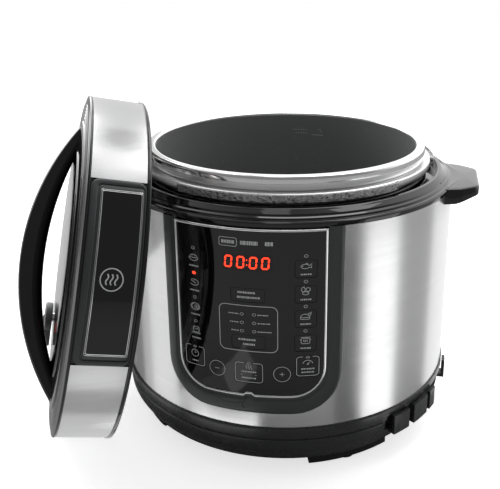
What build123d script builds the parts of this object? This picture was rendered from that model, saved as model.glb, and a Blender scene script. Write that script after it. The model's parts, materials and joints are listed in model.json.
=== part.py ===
"""Electric pressure cooker, lid taken off and leaning on the left side of the body.

Frame: millimetres, +Z up, control panel towards -Y.
Origin: on the cooker's vertical axis, at the level of the table.
"""
from build123d import *
import math
import os

os.makedirs("parts", exist_ok=True)

# ---------------------------------------------------------------- driving dimensions
body_radius = 144.0          # outside of the stainless shell
shell_wall = 1.0
shell_bottom = 44.0
shell_height = 164.0
fit_gap = 0.2                # between fixed pieces that slip into each other
seat_gap = 0.3               # between pieces of different bodies that rest on each other
screw_hole = 1.6

pot_room = 32.0              # from the shell's outside in to the mouth of the removable pot
pot_wall = 1.5
pot_depth = 151.7            # rim down to the upper face of the floor
pot_corner = 14.0
pot_base = 0.5               # extra thickness of the pot's floor
rim_width = 8.0
rim_rise = 30.0              # top of the rim above the shell
rim_drop = 6.0               # height of the rim's turned-down edge
rim_sheet = 1.4

cavity_gap = 2.0             # radial gap between removable pot and pressure housing
housing_wall = 1.5
heater_room = 12.3           # housing floor to the pot's floor
sensor_hole = 20.0
flange_drop = 17.7           # bayonet flange below the pot's rim
flange_height = 6.0
flange_reach = 4.5           # flange outside the pot's rim
lug_depth = 3.5
lug_count = 3
lug_arc = 84.0
lug_start = -30.0            # first end of the first lug, degrees from the front to the right

ring_lap = 1.2               # top ring outside the shell
ring_edge_height = 3.5
ring_slope = 10.0            # crest of the ring inside the shell's radius
ring_crest_height = 10.6
ring_crest_width = 3.2
ring_skirt = 2.3             # wall of the skirt inside the shell
ring_skirt_depth = 12.0
moat_lift = 2.0              # floor of the moat above the shell's top
moat_wall = 2.0
handle_length = 21.0
handle_lift = 4.0            # top of a side handle above the shell
handle_tip_half = 27.0
handle_root_half = 43.0
handle_tip_drop = 7.0        # thickness at the tip
handle_root_drop = 12.5      # thickness at the root
handle_corner = 9.0

pan_lap = 1.0                # base pan outside the shell
pan_band_height = 9.0        # upright band under the shell
pan_floor = 8.0
pan_wall = 2.5
pan_tuck = 16.0              # floor's edge inside the pan's radius
pan_spigot = 6.0
service_hole_radius = 62.0
service_lap = 12.0
channel_start = 45.0         # cord channel, degrees from the front towards the right
channel_end = 165.0
channel_height = 14.0
channel_drop = 6.0           # roof of the channel below the shell
channel_depth = 7.0
hook_reach = 3.5
hook_wall = 2.5
hooks = ((50.5, 7), (60.5, 8), (68.5, 4), (90, 4), (112, 6), (135, 6), (158, 6))  # middle and arc

foot_angle = 34.0            # first foot, degrees from the front towards the right
foot_arc = 30.0
foot_spread = 5.0            # outside of the feet beyond the pan's floor
foot_width = 22.0
foot_clear = 2.0             # height of the round pad under each foot
foot_pad_radius = 7.0
foot_peg_radius = 1.8

panel_half = 57.0            # half width of the bright frame, seen from the front
panel_lift = 28.0            # bottom of the bright frame above the shell's lower edge
panel_corner = 25.0
frame_line = 2.0             # width of the bright frame
notch_radius = 3.4
bezel_width = 11.0
bezel_foot = 15.0            # bezel below the bright frame
bezel_corner_extra = 9.0
bezel_seat = 3.3             # how far the rim of the bezel laps over the shell
ledge = 2.4                  # shelf that carries the overlay
bezel_proud = 2.0            # faces outside the shell's radius
frame_proud = 3.0
overlay_proud = 1.8
overlay_thickness = 2.6
key_gap = 0.3
key_travel = 0.5
key_face_drop = 0.15
key_flange = 0.8
key_flange_thickness = 1.2
board_setback = 16.0         # front face of the flat control board inside the shell's radius
board_thickness = 1.6
board_half = 56.0

column_inset = 15.2          # columns of programme keys in from the frame's side
column_drop = 30.0           # top programme keys below the frame's top
column_pitch = 19.7
lamp_rise = 10.0
side_margin = 2.9            # corner keys to the bright frame
side_key_width = 17.0
step_key_width = 13.4
heat_key_width = 22.0
key_row_room = 52.1          # half a row that these widths suit
side_key_rise = 26.5         # corner keys above the frame's bottom
step_key_middle = 25.0
step_key_rise = 20.0
display_drop = 26.0
display_width = 37.0
display_height = 12.5
menu_drop = 51.5             # upper and lower menu keys below the frame's top
menu_low_drop = 89.5
menu_lamp_drop = 66.8
menu_lamp_x = 4.6
menu_lamp_pitch = 6.8

lid_setback = 4.0            # lid's lower edge inside the shell's radius
lid_skirt_height = 42.0
lid_dome_height = 9.0
lid_cavity_depth = 28.5      # rim plane to the inner lid's cover plate
lid_yaw = 27.0               # lean direction, degrees from the left towards the front
lid_roll = 19.5              # turn about its own axis, the badge's side raised
lid_tilt = 11.5              # lean of the lid's face from upright
lid_bearing = 29.504         # where the lid stands, degrees from the left towards the front
lid_nest = 12.738            # how far the top ring reaches into the leaning lid
skirt_wall = 3.0
rim_lip = 3.0
grip_inset = 26.0            # ends of the grip in from the lid's edge
grip_rise = 32.0             # top of the grip above the cover
grip_room = 13.0             # finger room between cover and grip
grip_half_width = 16.0
grip_foot_length = 21.0
valve_x = -50.0
valve_y = 36.0
float_y = -36.0

# ---------------------------------------------------------------- sizes that follow
shell_top = shell_bottom + shell_height
skirt_outer = body_radius - shell_wall - fit_gap

pot_mouth_radius = body_radius - pot_room
pot_outside = pot_mouth_radius + pot_wall
pot_rim_radius = pot_mouth_radius + rim_width
pot_rim_top = shell_top + rim_rise
pot_floor_z = pot_rim_top - pot_depth
pot_under = pot_floor_z - pot_wall - pot_base

housing_inner = pot_outside + cavity_gap
housing_outer = housing_inner + housing_wall
housing_top = pot_rim_top - rim_sheet - seat_gap
housing_floor = pot_floor_z - heater_room
housing_under = housing_floor - housing_wall
flange_bottom = pot_rim_top - flange_drop
flange_top = flange_bottom + flange_height
flange_radius = pot_rim_radius + flange_reach
lug_radius = flange_radius + lug_depth

ring_edge_radius = body_radius + ring_lap
ring_edge_top = shell_top + ring_edge_height
ring_crest_radius = body_radius - ring_slope
ring_crest_top = shell_top + ring_crest_height
moat_outer_radius = ring_crest_radius - ring_crest_width
moat_inner_radius = housing_outer + 2 * moat_wall
moat_floor = shell_top + moat_lift
handle_reach = body_radius + handle_length
handle_top = shell_top + handle_lift

pan_radius = body_radius + pan_lap
pan_floor_radius = pan_radius - pan_tuck
band_bottom = shell_bottom - pan_band_height
channel_roof = shell_bottom - channel_drop
channel_floor = channel_roof - channel_height
channel_wall = pan_radius - channel_depth
hook_radius = pan_radius + hook_reach
foot_outer = pan_floor_radius + foot_spread
foot_inner = foot_outer - foot_width
foot_pad_circle = foot_outer - 10.0
foot_peg_circle = foot_pad_circle - 6.0
service_screw_circle = service_hole_radius + 7.0

panel_bottom = shell_bottom + panel_lift
panel_top = shell_top - 1.0
bezel_half = panel_half + bezel_width
bezel_bottom = panel_bottom - bezel_foot
bezel_corner = panel_corner + bezel_corner_extra
bezel_face = body_radius + bezel_proud
bezel_back = body_radius - shell_wall - 2.0
frame_face = body_radius + frame_proud
overlay_face = body_radius + overlay_proud
overlay_back = overlay_face - overlay_thickness
board_front = body_radius - board_setback
column_x = panel_half - column_inset
column_top_z = panel_top - column_drop
row_room = panel_half - frame_line - side_margin
row_fit = row_room / key_row_room
side_key_x = row_room - side_key_width * row_fit / 2
step_key_x = step_key_middle * row_fit
side_key_z = panel_bottom + side_key_rise
step_key_z = panel_bottom + step_key_rise
display_z = panel_top - display_drop
board_low = panel_bottom + 10
board_high = panel_top - 8
board_centre = (0, (board_low + board_high) / 2)
board_screw_grid = (2 * board_half - 6, board_high - board_low - 6, 2, 2)

lid_radius = body_radius - lid_setback
lid_band_radius = lid_radius - 0.8
lid_cover_radius = lid_radius - 0.4
skirt_radius = lid_band_radius - 1.0
skirt_inner = skirt_radius - skirt_wall
rim_inner = lid_radius - 8.0
cover_seat = lid_skirt_height
lid_dome_top = lid_skirt_height + lid_dome_height
grip_half_span = lid_radius - grip_inset
grip_top = lid_dome_top + grip_rise
grip_clear = lid_dome_top + grip_room

FULL_TURN = 360.0
SKETCH_LIFT = 100.0          # set-back of the drawing planes from the axis
CUT_LENGTH = 0.5 * body_radius
THROUGH = 2 * body_radius    # radius that is outside everything

# ---------------------------------------------------------------- drawing planes
axis_z = Axis.Z
section = Plane.XZ           # local x is the radius, local y is the height
front = Plane(origin=(0, -SKETCH_LIFT, 0), x_dir=(1, 0, 0), z_dir=(0, -1, 0))
rear = Plane(origin=(0, SKETCH_LIFT, 0), x_dir=(-1, 0, 0), z_dir=(0, 1, 0))


def turned_section(angle):
    """Section plane through the axis, at this angle from the front towards the right."""
    turn = math.radians(angle)
    radial = (math.sin(turn), -math.cos(turn), 0)
    return Plane(origin=(0, 0, 0), x_dir=radial, z_dir=(-math.cos(turn), -math.sin(turn), 0))


yaw = math.radians(lid_yaw)
tilt = math.radians(lid_tilt)
lid_normal = Vector(-math.cos(tilt) * math.cos(yaw), -math.cos(tilt) * math.sin(yaw), math.sin(tilt))
lid_up = Vector(math.sin(tilt) * math.cos(yaw), math.sin(tilt) * math.sin(yaw), math.cos(tilt))
lid_side = lid_normal.cross(lid_up)
roll = math.radians(lid_roll)
lid_up, lid_side = (
    lid_up * math.cos(roll) + lid_side * math.sin(roll),
    lid_side * math.cos(roll) - lid_up * math.sin(roll),
)
lid_centre_z = lid_radius * math.cos(tilt)
lean_shift = (shell_top + 2 - lid_centre_z) * math.tan(tilt)
ring_rise = (shell_top + 2 - lid_centre_z) / math.cos(tilt)
hollow_half = math.sqrt(rim_inner**2 - ring_rise**2)
swing = math.radians(lid_bearing - lid_yaw)
handle_across = handle_reach * math.sin(yaw) + handle_tip_half * math.cos(yaw)
handle_out = handle_reach * math.cos(yaw) + handle_tip_half * math.sin(yaw)
nested_stand = (ring_edge_radius - lid_nest + lean_shift) / math.cos(swing)
if hollow_half > handle_across + nested_stand * math.sin(swing):
    lid_stand = nested_stand  # the hollow takes in the left handle
else:
    lid_stand = (handle_out + seat_gap + lean_shift) / math.cos(swing)
lid_x = -lid_stand * math.cos(math.radians(lid_bearing))
lid_y = -lid_stand * math.sin(math.radians(lid_bearing))
lid_origin = Vector(lid_x, lid_y, lid_centre_z)
lid_axis = Axis(lid_origin, lid_normal)
lid_section = Plane(origin=lid_origin, x_dir=lid_up, z_dir=-lid_side)


def lid_level(height):
    """Plane parallel to the lid's lower edge, this far above it towards the outside."""
    return Plane(origin=lid_origin + lid_normal * height, x_dir=lid_up, z_dir=lid_normal)


lid_front = Plane(origin=lid_origin - lid_side * SKETCH_LIFT, x_dir=lid_up, z_dir=-lid_side)

exported = []


def save(part, name):
    """Label a finished piece and write its STEP file."""
    part.label = name
    export_step(part, f"parts/{name}.step")
    exported.append(name)


# ---------------------------------------------------------------- removable pot
with BuildPart() as inner_pot:
    with BuildSketch(section):
        with BuildLine():
            Polyline(
                (0, pot_under),
                (pot_outside - pot_corner, pot_under),
                (pot_outside, pot_under + pot_corner),
                (pot_outside, pot_rim_top - rim_sheet),
                (pot_rim_radius - rim_sheet, pot_rim_top - rim_sheet),
                (pot_rim_radius - rim_sheet, pot_rim_top - rim_drop),
                (pot_rim_radius, pot_rim_top - rim_drop),
                (pot_rim_radius, pot_rim_top),
                (pot_mouth_radius, pot_rim_top),
                (pot_mouth_radius, pot_floor_z + pot_corner - pot_wall),
                (pot_mouth_radius - pot_corner + pot_wall, pot_floor_z),
                (0, pot_floor_z),
                close=True,
            )
        make_face()
    revolve(axis=axis_z)
save(inner_pot.part, "inner_pot")

# ---------------------------------------------------------------- pressure housing
terminal_circle = 60.0

with BuildPart() as pressure_housing:
    with BuildSketch(section):
        with BuildLine():
            Polyline(
                (sensor_hole, housing_under),
                (housing_outer, housing_under),
                (housing_outer, flange_bottom),
                (flange_radius, flange_bottom),
                (flange_radius, flange_top),
                (housing_outer, flange_top),
                (housing_outer, housing_top),
                (housing_inner, housing_top),
                (housing_inner, housing_floor),
                (sensor_hole, housing_floor),
                close=True,
            )
        make_face()
    revolve(axis=axis_z)
    for lug in range(lug_count):
        with BuildSketch(turned_section(lug_start + lug * FULL_TURN / lug_count)):
            with Locations((flange_radius - 1, flange_bottom)):
                Rectangle(lug_radius - flange_radius + 1, flange_height, align=(Align.MIN, Align.MIN))
        revolve(axis=axis_z, revolution_arc=lug_arc)
    with BuildSketch(Plane.XY.offset(housing_under - 1)):
        with PolarLocations(terminal_circle, 2, start_angle=90):
            Circle(4.0)
    extrude(amount=housing_wall + 2, mode=Mode.SUBTRACT)
save(pressure_housing.part, "pressure_housing")

# ---------------------------------------------------------------- heating
plate_top = pot_under - seat_gap
plate_radius = 88.0
plate_bore = 15.0
sensor_radius = 12.5
sensor_travel = 3.0
ring_foot_inner = 52.0       # the plate stands on a ring between these radii
ring_foot_outer = 68.0
plate_thickness = 7.0
sensor_stem = 4.0            # stem inside the head's radius
sensor_length = 20.0
bridge_span = 34.0
bridge_arm = 24.0
bridge_sheet = 1.5
bridge_width = 16.0

with BuildPart() as heating_plate:
    with BuildSketch(section):
        with BuildLine():
            Polyline(
                (plate_bore, plate_top - plate_thickness),
                (ring_foot_inner, plate_top - plate_thickness),
                (ring_foot_inner, housing_floor),
                (ring_foot_outer, housing_floor),
                (ring_foot_outer, plate_top - plate_thickness),
                (plate_radius, plate_top - 5),
                (plate_radius, plate_top - 1),
                (plate_radius - 4, plate_top),
                (plate_bore, plate_top),
                close=True,
            )
        make_face()
    revolve(axis=axis_z)
save(heating_plate.part, "heating_plate")

with BuildPart() as heater_terminals:
    with BuildSketch(Plane.XY.offset(housing_floor)):
        with PolarLocations(terminal_circle, 2, start_angle=90):
            Circle(2.6)
    extrude(amount=-18)
save(heater_terminals.part, "heater_terminals")

with BuildPart() as temperature_sensor:
    with BuildSketch(section):
        with BuildLine():
            Polyline(
                (0, plate_top - sensor_length),
                (sensor_radius - sensor_stem, plate_top - sensor_length),
                (sensor_radius - sensor_stem, plate_top - 8),
                (sensor_radius, plate_top - 8),
                (sensor_radius, plate_top - 2),
                (sensor_radius - 2, plate_top),
                (0, plate_top),
                close=True,
            )
        make_face()
    revolve(axis=axis_z)
save(temperature_sensor.part, "temperature_sensor")

bridge_top = plate_top - sensor_length - sensor_travel - seat_gap
with BuildPart() as sensor_bridge:
    with BuildSketch(Plane.XZ.offset(-bridge_width / 2)):
        with BuildLine():
            Polyline(
                (-bridge_span, housing_under),
                (-bridge_arm, housing_under),
                (-bridge_arm, bridge_top),
                (bridge_arm, bridge_top),
                (bridge_arm, housing_under),
                (bridge_span, housing_under),
                (bridge_span, housing_under - bridge_sheet),
                (bridge_arm + bridge_sheet, housing_under - bridge_sheet),
                (bridge_arm + bridge_sheet, bridge_top - bridge_sheet),
                (-bridge_arm - bridge_sheet, bridge_top - bridge_sheet),
                (-bridge_arm - bridge_sheet, housing_under - bridge_sheet),
                (-bridge_span, housing_under - bridge_sheet),
                close=True,
            )
        make_face()
    extrude(amount=bridge_width)
save(sensor_bridge.part, "sensor_bridge")

# ---------------------------------------------------------------- top ring with the two side handles
skirt_bottom = shell_top - ring_skirt_depth

with BuildPart() as top_ring:
    with BuildSketch(section):
        with BuildLine():
            Polyline(
                (skirt_outer - ring_skirt, skirt_bottom),
                (skirt_outer, skirt_bottom),
                (skirt_outer, shell_top),
                (ring_edge_radius, shell_top),
                (ring_edge_radius, ring_edge_top - 1),
                (ring_edge_radius - 1, ring_edge_top),
                (ring_edge_radius - 3.6, ring_edge_top + 1.2),
                (ring_edge_radius - 4.6, ring_edge_top + 3.2),
                (ring_crest_radius + 1.5, ring_crest_top - 1),
                (ring_crest_radius, ring_crest_top),
                (moat_outer_radius, ring_crest_top),
                (moat_outer_radius, moat_floor),
                (moat_inner_radius, moat_floor),
                (moat_inner_radius, moat_floor + 5),
                (moat_inner_radius - moat_wall, moat_floor + 5),
                (moat_inner_radius - moat_wall, moat_floor - 2.5),
                (skirt_outer - ring_skirt, moat_floor - 2.5),
                close=True,
            )
        make_face()
    revolve(axis=axis_z)
    wing_root = math.sqrt(body_radius**2 - handle_root_half**2) - 1.5
    shoulder = handle_reach - 14
    for side in (-1, 1):
        with BuildSketch(Plane.XY.offset(handle_top)):
            with BuildLine():
                Polyline(
                    (side * wing_root, -handle_root_half),
                    (side * shoulder, -handle_root_half + 5),
                    (side * handle_reach, -handle_tip_half),
                    (side * handle_reach, handle_tip_half),
                    (side * shoulder, handle_root_half - 5),
                    (side * wing_root, handle_root_half),
                    close=True,
                )
            make_face()
            fillet([v for v in vertices() if abs(v.X) > wing_root + 1], radius=handle_corner)
        extrude(amount=-handle_root_drop)
        with BuildSketch(Plane.XZ.offset(-handle_root_half - 5)):
            with BuildLine():
                Polyline(
                    (side * (body_radius + 3), handle_top - handle_root_drop),
                    (side * (handle_reach + 1), handle_top - handle_tip_drop),
                    (side * (handle_reach + 1), handle_top - handle_root_drop - 1),
                    (side * (body_radius + 3), handle_top - handle_root_drop - 1),
                    close=True,
                )
            make_face()
        extrude(amount=2 * handle_root_half + 10, mode=Mode.SUBTRACT)
    with BuildSketch(Plane.XY.offset(shell_top)):
        Circle(body_radius + fit_gap)
        Circle(skirt_outer, mode=Mode.SUBTRACT)
    extrude(amount=-20, mode=Mode.SUBTRACT)
    with BuildSketch(Plane.XY.offset(shell_top)):
        Circle(skirt_outer - ring_skirt)
    extrude(amount=-20, mode=Mode.SUBTRACT)
    with BuildSketch(front):
        with Locations((0, shell_top)):
            Rectangle(2 * bezel_half + 1, 30, align=(Align.CENTER, Align.MAX))
    extrude(amount=CUT_LENGTH, mode=Mode.SUBTRACT)
save(top_ring.part, "top_ring")

# ---------------------------------------------------------------- stainless shell
inlet_z = shell_bottom + 34.0
inlet_width = 36.0
inlet_height = 28.0
inlet_corner = 4.0
cup_z = shell_top - 21.0
cup_tongue_width = 24.0
cup_tongue_thick = 3.0

with BuildPart() as outer_shell:
    with BuildSketch(Plane.XY.offset(shell_bottom)):
        Circle(body_radius)
        Circle(body_radius - shell_wall, mode=Mode.SUBTRACT)
    extrude(amount=shell_top - shell_bottom)
    with BuildSketch(front) as shell_window:
        with Locations((0, bezel_bottom + 3)):
            Rectangle(2 * bezel_half - 6, shell_top, align=(Align.CENTER, Align.MIN))
        fillet(shell_window.vertices().group_by(Axis.Y)[0], radius=bezel_corner - 3)
    extrude(amount=CUT_LENGTH, mode=Mode.SUBTRACT)
    with BuildSketch(rear):
        with Locations((0, inlet_z)):
            RectangleRounded(inlet_width + 2 * fit_gap, inlet_height + 2 * fit_gap, inlet_corner)
    extrude(amount=CUT_LENGTH, mode=Mode.SUBTRACT)
save(outer_shell.part, "outer_shell")

# ---------------------------------------------------------------- base pan with the cord channel
bowl_top = (pan_radius - 1.6, band_bottom - 1.5)
bowl_side = (pan_radius - 3.8, pan_floor + 12.5)
bowl_foot = (pan_radius - 9.0, pan_floor + 3.0)
inside_top = (skirt_outer - pan_wall, band_bottom - 1.5)
inside_side = (pan_radius - 6.7, pan_floor + 13.5)
inside_foot = (pan_radius - 11.0, pan_floor + 6.0)

with BuildPart() as base_pan:
    with BuildSketch(section):
        with BuildLine():
            Polyline(
                (service_hole_radius, pan_floor),
                (pan_floor_radius, pan_floor),
                bowl_foot,
            )
            ThreePointArc(bowl_foot, bowl_side, bowl_top)
            Polyline(
                bowl_top,
                (pan_radius, band_bottom),
                (pan_radius, shell_bottom),
                (skirt_outer, shell_bottom),
                (skirt_outer, shell_bottom + pan_spigot),
                (skirt_outer - pan_wall, shell_bottom + pan_spigot),
                inside_top,
            )
            ThreePointArc(inside_top, inside_side, inside_foot)
            Polyline(
                inside_foot,
                (pan_floor_radius - 1, pan_floor + pan_wall),
                (service_hole_radius, pan_floor + pan_wall),
                (service_hole_radius, pan_floor),
            )
        make_face()
    revolve(axis=axis_z)
    channel_arc = channel_end - channel_start
    with BuildSketch(turned_section(channel_start - 1)):
        with Locations((channel_wall - pan_wall, channel_floor - 3)):
            Rectangle(pan_wall + 1.5, channel_roof - channel_floor + 6, align=(Align.MIN, Align.MIN))
    revolve(axis=axis_z, revolution_arc=channel_arc + 2)
    with BuildSketch(turned_section(channel_start)):
        with Locations((channel_wall, channel_floor)):
            Rectangle(20, channel_roof - channel_floor, align=(Align.MIN, Align.MIN))
    revolve(axis=axis_z, revolution_arc=channel_arc, mode=Mode.SUBTRACT)
    for hook_angle, hook_arc in hooks:
        with BuildSketch(turned_section(hook_angle - hook_arc / 2)):
            with BuildLine():
                Polyline(
                    (channel_wall - 0.5, channel_floor - 3),
                    (hook_radius, channel_floor - 3),
                    (hook_radius, channel_roof),
                    (hook_radius - hook_wall, channel_roof),
                    (hook_radius - hook_wall, channel_floor),
                    (channel_wall - 0.5, channel_floor),
                    close=True,
                )
            make_face()
        revolve(axis=axis_z, revolution_arc=hook_arc)
    with BuildSketch(Plane.XY.offset(pan_floor)):
        with PolarLocations(foot_peg_circle, 4, start_angle=foot_angle - 90):
            Circle(foot_peg_radius)
        with PolarLocations(service_screw_circle, 4, start_angle=45):
            Circle(screw_hole)
    extrude(amount=pan_wall, mode=Mode.SUBTRACT)
save(base_pan.part, "base_pan")

with BuildPart() as bottom_plate:
    with BuildSketch(Plane.XY.offset(pan_floor)):
        Circle(service_hole_radius + service_lap)
        with PolarLocations(service_screw_circle, 4, start_angle=45):
            Circle(screw_hole, mode=Mode.SUBTRACT)
        with GridLocations(14, 30, 5, 2):
            SlotOverall(24, 4, rotation=90, mode=Mode.SUBTRACT)
    extrude(amount=-1.5)
save(bottom_plate.part, "bottom_plate")

# ---------------------------------------------------------------- feet
with BuildPart() as feet:
    for foot in range(4):
        start = foot_angle + foot * 90 - foot_arc / 2
        with BuildSketch(turned_section(start)):
            with BuildLine():
                Polyline(
                    (foot_inner, foot_clear),
                    (foot_outer - 2, foot_clear),
                    (foot_outer, foot_clear + 2),
                    (foot_outer, pan_floor + 1.2),
                    (pan_floor_radius + 0.5, pan_floor),
                    (foot_inner, pan_floor),
                    close=True,
                )
            make_face()
        revolve(axis=axis_z, revolution_arc=foot_arc)
    with BuildSketch(Plane.XY.offset(foot_clear)):
        with PolarLocations(foot_peg_circle, 4, start_angle=foot_angle - 90):
            Circle(foot_peg_radius)
    extrude(amount=pan_floor, mode=Mode.SUBTRACT)
    with BuildSketch(Plane.XY):
        with PolarLocations(foot_pad_circle, 4, start_angle=foot_angle - 90):
            Circle(foot_pad_radius)
    extrude(amount=foot_clear)
save(feet.part, "feet")

# ---------------------------------------------------------------- inner structure
bracket_sheet = 2.0
bracket_width = 24.0
bracket_in = housing_outer - 17
bracket_leg = housing_outer - 7
bracket_out = housing_outer + 5
with BuildPart() as housing_brackets:
    for leg in range(3):
        leg_plane = turned_section(60 + leg * 120)
        with BuildSketch(leg_plane.offset(-bracket_width / 2)):
            with BuildLine():
                Polyline(
                    (bracket_in, housing_under),
                    (bracket_in, housing_under - bracket_sheet),
                    (bracket_leg, housing_under - bracket_sheet),
                    (bracket_leg, pan_floor + pan_wall),
                    (bracket_out, pan_floor + pan_wall),
                    (bracket_out, pan_floor + pan_wall + bracket_sheet),
                    (bracket_leg + bracket_sheet, pan_floor + pan_wall + bracket_sheet),
                    (bracket_leg + bracket_sheet, housing_under),
                    close=True,
                )
            make_face()
        extrude(amount=bracket_width)
save(housing_brackets.part, "housing_brackets")

shield_radius = housing_outer + 8.0
shield_sheet = 0.8
shield_top = shell_top - 18.0
with BuildPart() as heat_shield:
    with BuildSketch(Plane.XY.offset(pan_floor + pan_wall)):
        Circle(shield_radius)
        Circle(shield_radius - shield_sheet, mode=Mode.SUBTRACT)
    extrude(amount=shield_top - pan_floor - pan_wall)
save(heat_shield.part, "heat_shield")

switch_height = 14.0
with BuildPart() as pressure_switch:
    with BuildSketch(Plane.XY.offset(housing_under)):
        with Locations((-55, 30)):
            RectangleRounded(26, 18, 2)
    extrude(amount=-switch_height)
    with BuildSketch(Plane.XY.offset(housing_under - switch_height)):
        with Locations((-61, 30), (-49, 30)):
            Rectangle(0.8, 6)
    extrude(amount=-7)
save(pressure_switch.part, "pressure_switch")

with BuildPart() as thermal_fuse:
    with BuildSketch(Plane.XY.offset(housing_under)):
        with Locations((52, 34)):
            RectangleRounded(30, 9, 4)
    extrude(amount=-5)
save(thermal_fuse.part, "thermal_fuse")

power_board_lift = 8.0
power_board_y = -62.0
power_board_size = (96.0, 56.0)
power_board_z = pan_floor + pan_wall + power_board_lift
with BuildPart() as power_board:
    with BuildSketch(Plane.XY.offset(power_board_z)):
        with Locations((0, power_board_y)):
            Rectangle(*power_board_size)
    extrude(amount=board_thickness)
    with BuildSketch(Plane.XY.offset(power_board_z + board_thickness)):
        with Locations((-32, -66)):
            Rectangle(22, 18)
        with Locations((34, -56)):
            Rectangle(18, 26)
    extrude(amount=17)
    with BuildSketch(Plane.XY.offset(power_board_z + board_thickness)):
        with Locations((4, -50), (4, -74)):
            Circle(6)
    extrude(amount=20)
    with BuildSketch(Plane.XY.offset(power_board_z)):
        with Locations((0, power_board_y)):
            with GridLocations(power_board_size[0] - 10, power_board_size[1] - 10, 2, 2):
                Circle(3)
    extrude(amount=-power_board_lift)
save(power_board.part, "power_board")

# ---------------------------------------------------------------- control panel


def curved_slab(half_width, low, high, corner, radius_in, radius_out):
    """Part of a cylindrical wall with this outline, as seen from the front."""
    with BuildPart() as slab:
        with BuildSketch(front) as outline:
            with Locations((0, low)):
                Rectangle(2 * half_width, high - low, align=(Align.CENTER, Align.MIN))
            fillet(outline.vertices().group_by(Axis.Y)[0], radius=corner)
        extrude(amount=CUT_LENGTH)
        with BuildSketch(Plane.XY):
            Circle(radius_out)
            Circle(radius_in, mode=Mode.SUBTRACT)
        extrude(amount=high + 1, mode=Mode.INTERSECT)
    return slab.part


def curved_button(shape, x, z, grow, radius_in, radius_out):
    """Key outline grown by this much, cut out of a cylindrical wall."""
    kind, width, height = shape
    with BuildPart() as button:
        with BuildSketch(front):
            with Locations((x, z)):
                if kind == "round":
                    Circle(width / 2 + grow)
                else:
                    RectangleRounded(width + 2 * grow, height + 2 * grow, 2.0 + grow)
        extrude(amount=CUT_LENGTH)
        with BuildSketch(Plane.XY):
            Circle(radius_out)
            Circle(radius_in, mode=Mode.SUBTRACT)
        extrude(amount=shell_top, mode=Mode.INTERSECT)
    return button.part


side_shape = ("block", 15.0, 13.4)
corner_shape = ("block", side_key_width * row_fit, 16.8)
step_shape = ("round", step_key_width * row_fit, step_key_width * row_fit)
wide_shape = ("block", heat_key_width * row_fit, 17.0)
menu_shape = ("block", 25.0, 10.5)
keys = {}
for row, (left_name, right_name) in enumerate(
    (("rice", "fish"), ("beans", "vegetables"), ("meat", "chicken"), ("pudding", "saute"))
):
    keys["key_" + left_name] = (side_shape, -column_x, column_top_z - row * column_pitch)
    keys["key_" + right_name] = (side_shape, column_x, column_top_z - row * column_pitch)
keys["key_timer"] = (corner_shape, -side_key_x, side_key_z)
keys["key_keep_pressure"] = (corner_shape, side_key_x, side_key_z)
keys["key_minus"] = (step_shape, -step_key_x, step_key_z)
keys["key_plus"] = (step_shape, step_key_x, step_key_z)
keys["key_heat_cancel"] = (wide_shape, 0.0, step_key_z)
keys["key_cooking_times"] = (menu_shape, 0.0, panel_top - menu_drop)
keys["key_extra_functions"] = (menu_shape, 0.0, panel_top - menu_low_drop)

bezel_rim = curved_slab(bezel_half, bezel_bottom, shell_top, bezel_corner, body_radius, bezel_face)
bezel_core = curved_slab(
    bezel_half - bezel_seat,
    bezel_bottom + bezel_seat,
    shell_top,
    bezel_corner - bezel_seat,
    bezel_back,
    body_radius,
)
frame_window = curved_slab(
    panel_half + 0.1, panel_bottom - 0.1, shell_top + 1, panel_corner + 0.1, overlay_back, THROUGH
)
ledge_window = curved_slab(
    panel_half - ledge, panel_bottom + ledge, panel_top - ledge, panel_corner - ledge, board_front, THROUGH
)
with BuildPart() as board_posts:
    with BuildSketch(front.offset(board_front - SKETCH_LIFT)):
        with Locations(board_centre):
            with GridLocations(*board_screw_grid):
                Circle(3.2)
    extrude(amount=board_setback + 4)
    with BuildSketch(Plane.XY):
        Circle(bezel_back + 0.2)
    extrude(amount=shell_top, mode=Mode.INTERSECT)
with BuildPart() as panel_bezel:
    add(bezel_rim)
    add(bezel_core)
    add(frame_window, mode=Mode.SUBTRACT)
    add(ledge_window, mode=Mode.SUBTRACT)
    add(board_posts)
save(panel_bezel.part, "panel_bezel")

frame_outer = curved_slab(panel_half, panel_bottom, panel_top, panel_corner, overlay_back, frame_face)
frame_inner = curved_slab(
    panel_half - frame_line,
    panel_bottom + frame_line,
    panel_top - frame_line,
    panel_corner - frame_line,
    board_front,
    THROUGH,
)
notch_outer = curved_button(("round", 2 * notch_radius, 0), 0, panel_bottom, 0, overlay_back, frame_face)
notch_inner = curved_button(("round", 2 * notch_radius - 3, 0), 0, panel_bottom, 0, board_front, THROUGH)
with BuildPart() as panel_frame:
    add(frame_outer)
    add(frame_inner, mode=Mode.SUBTRACT)
    add(notch_outer)
    add(notch_inner, mode=Mode.SUBTRACT)
    add(frame_window, mode=Mode.INTERSECT)
save(panel_frame.part, "panel_frame")

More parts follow.
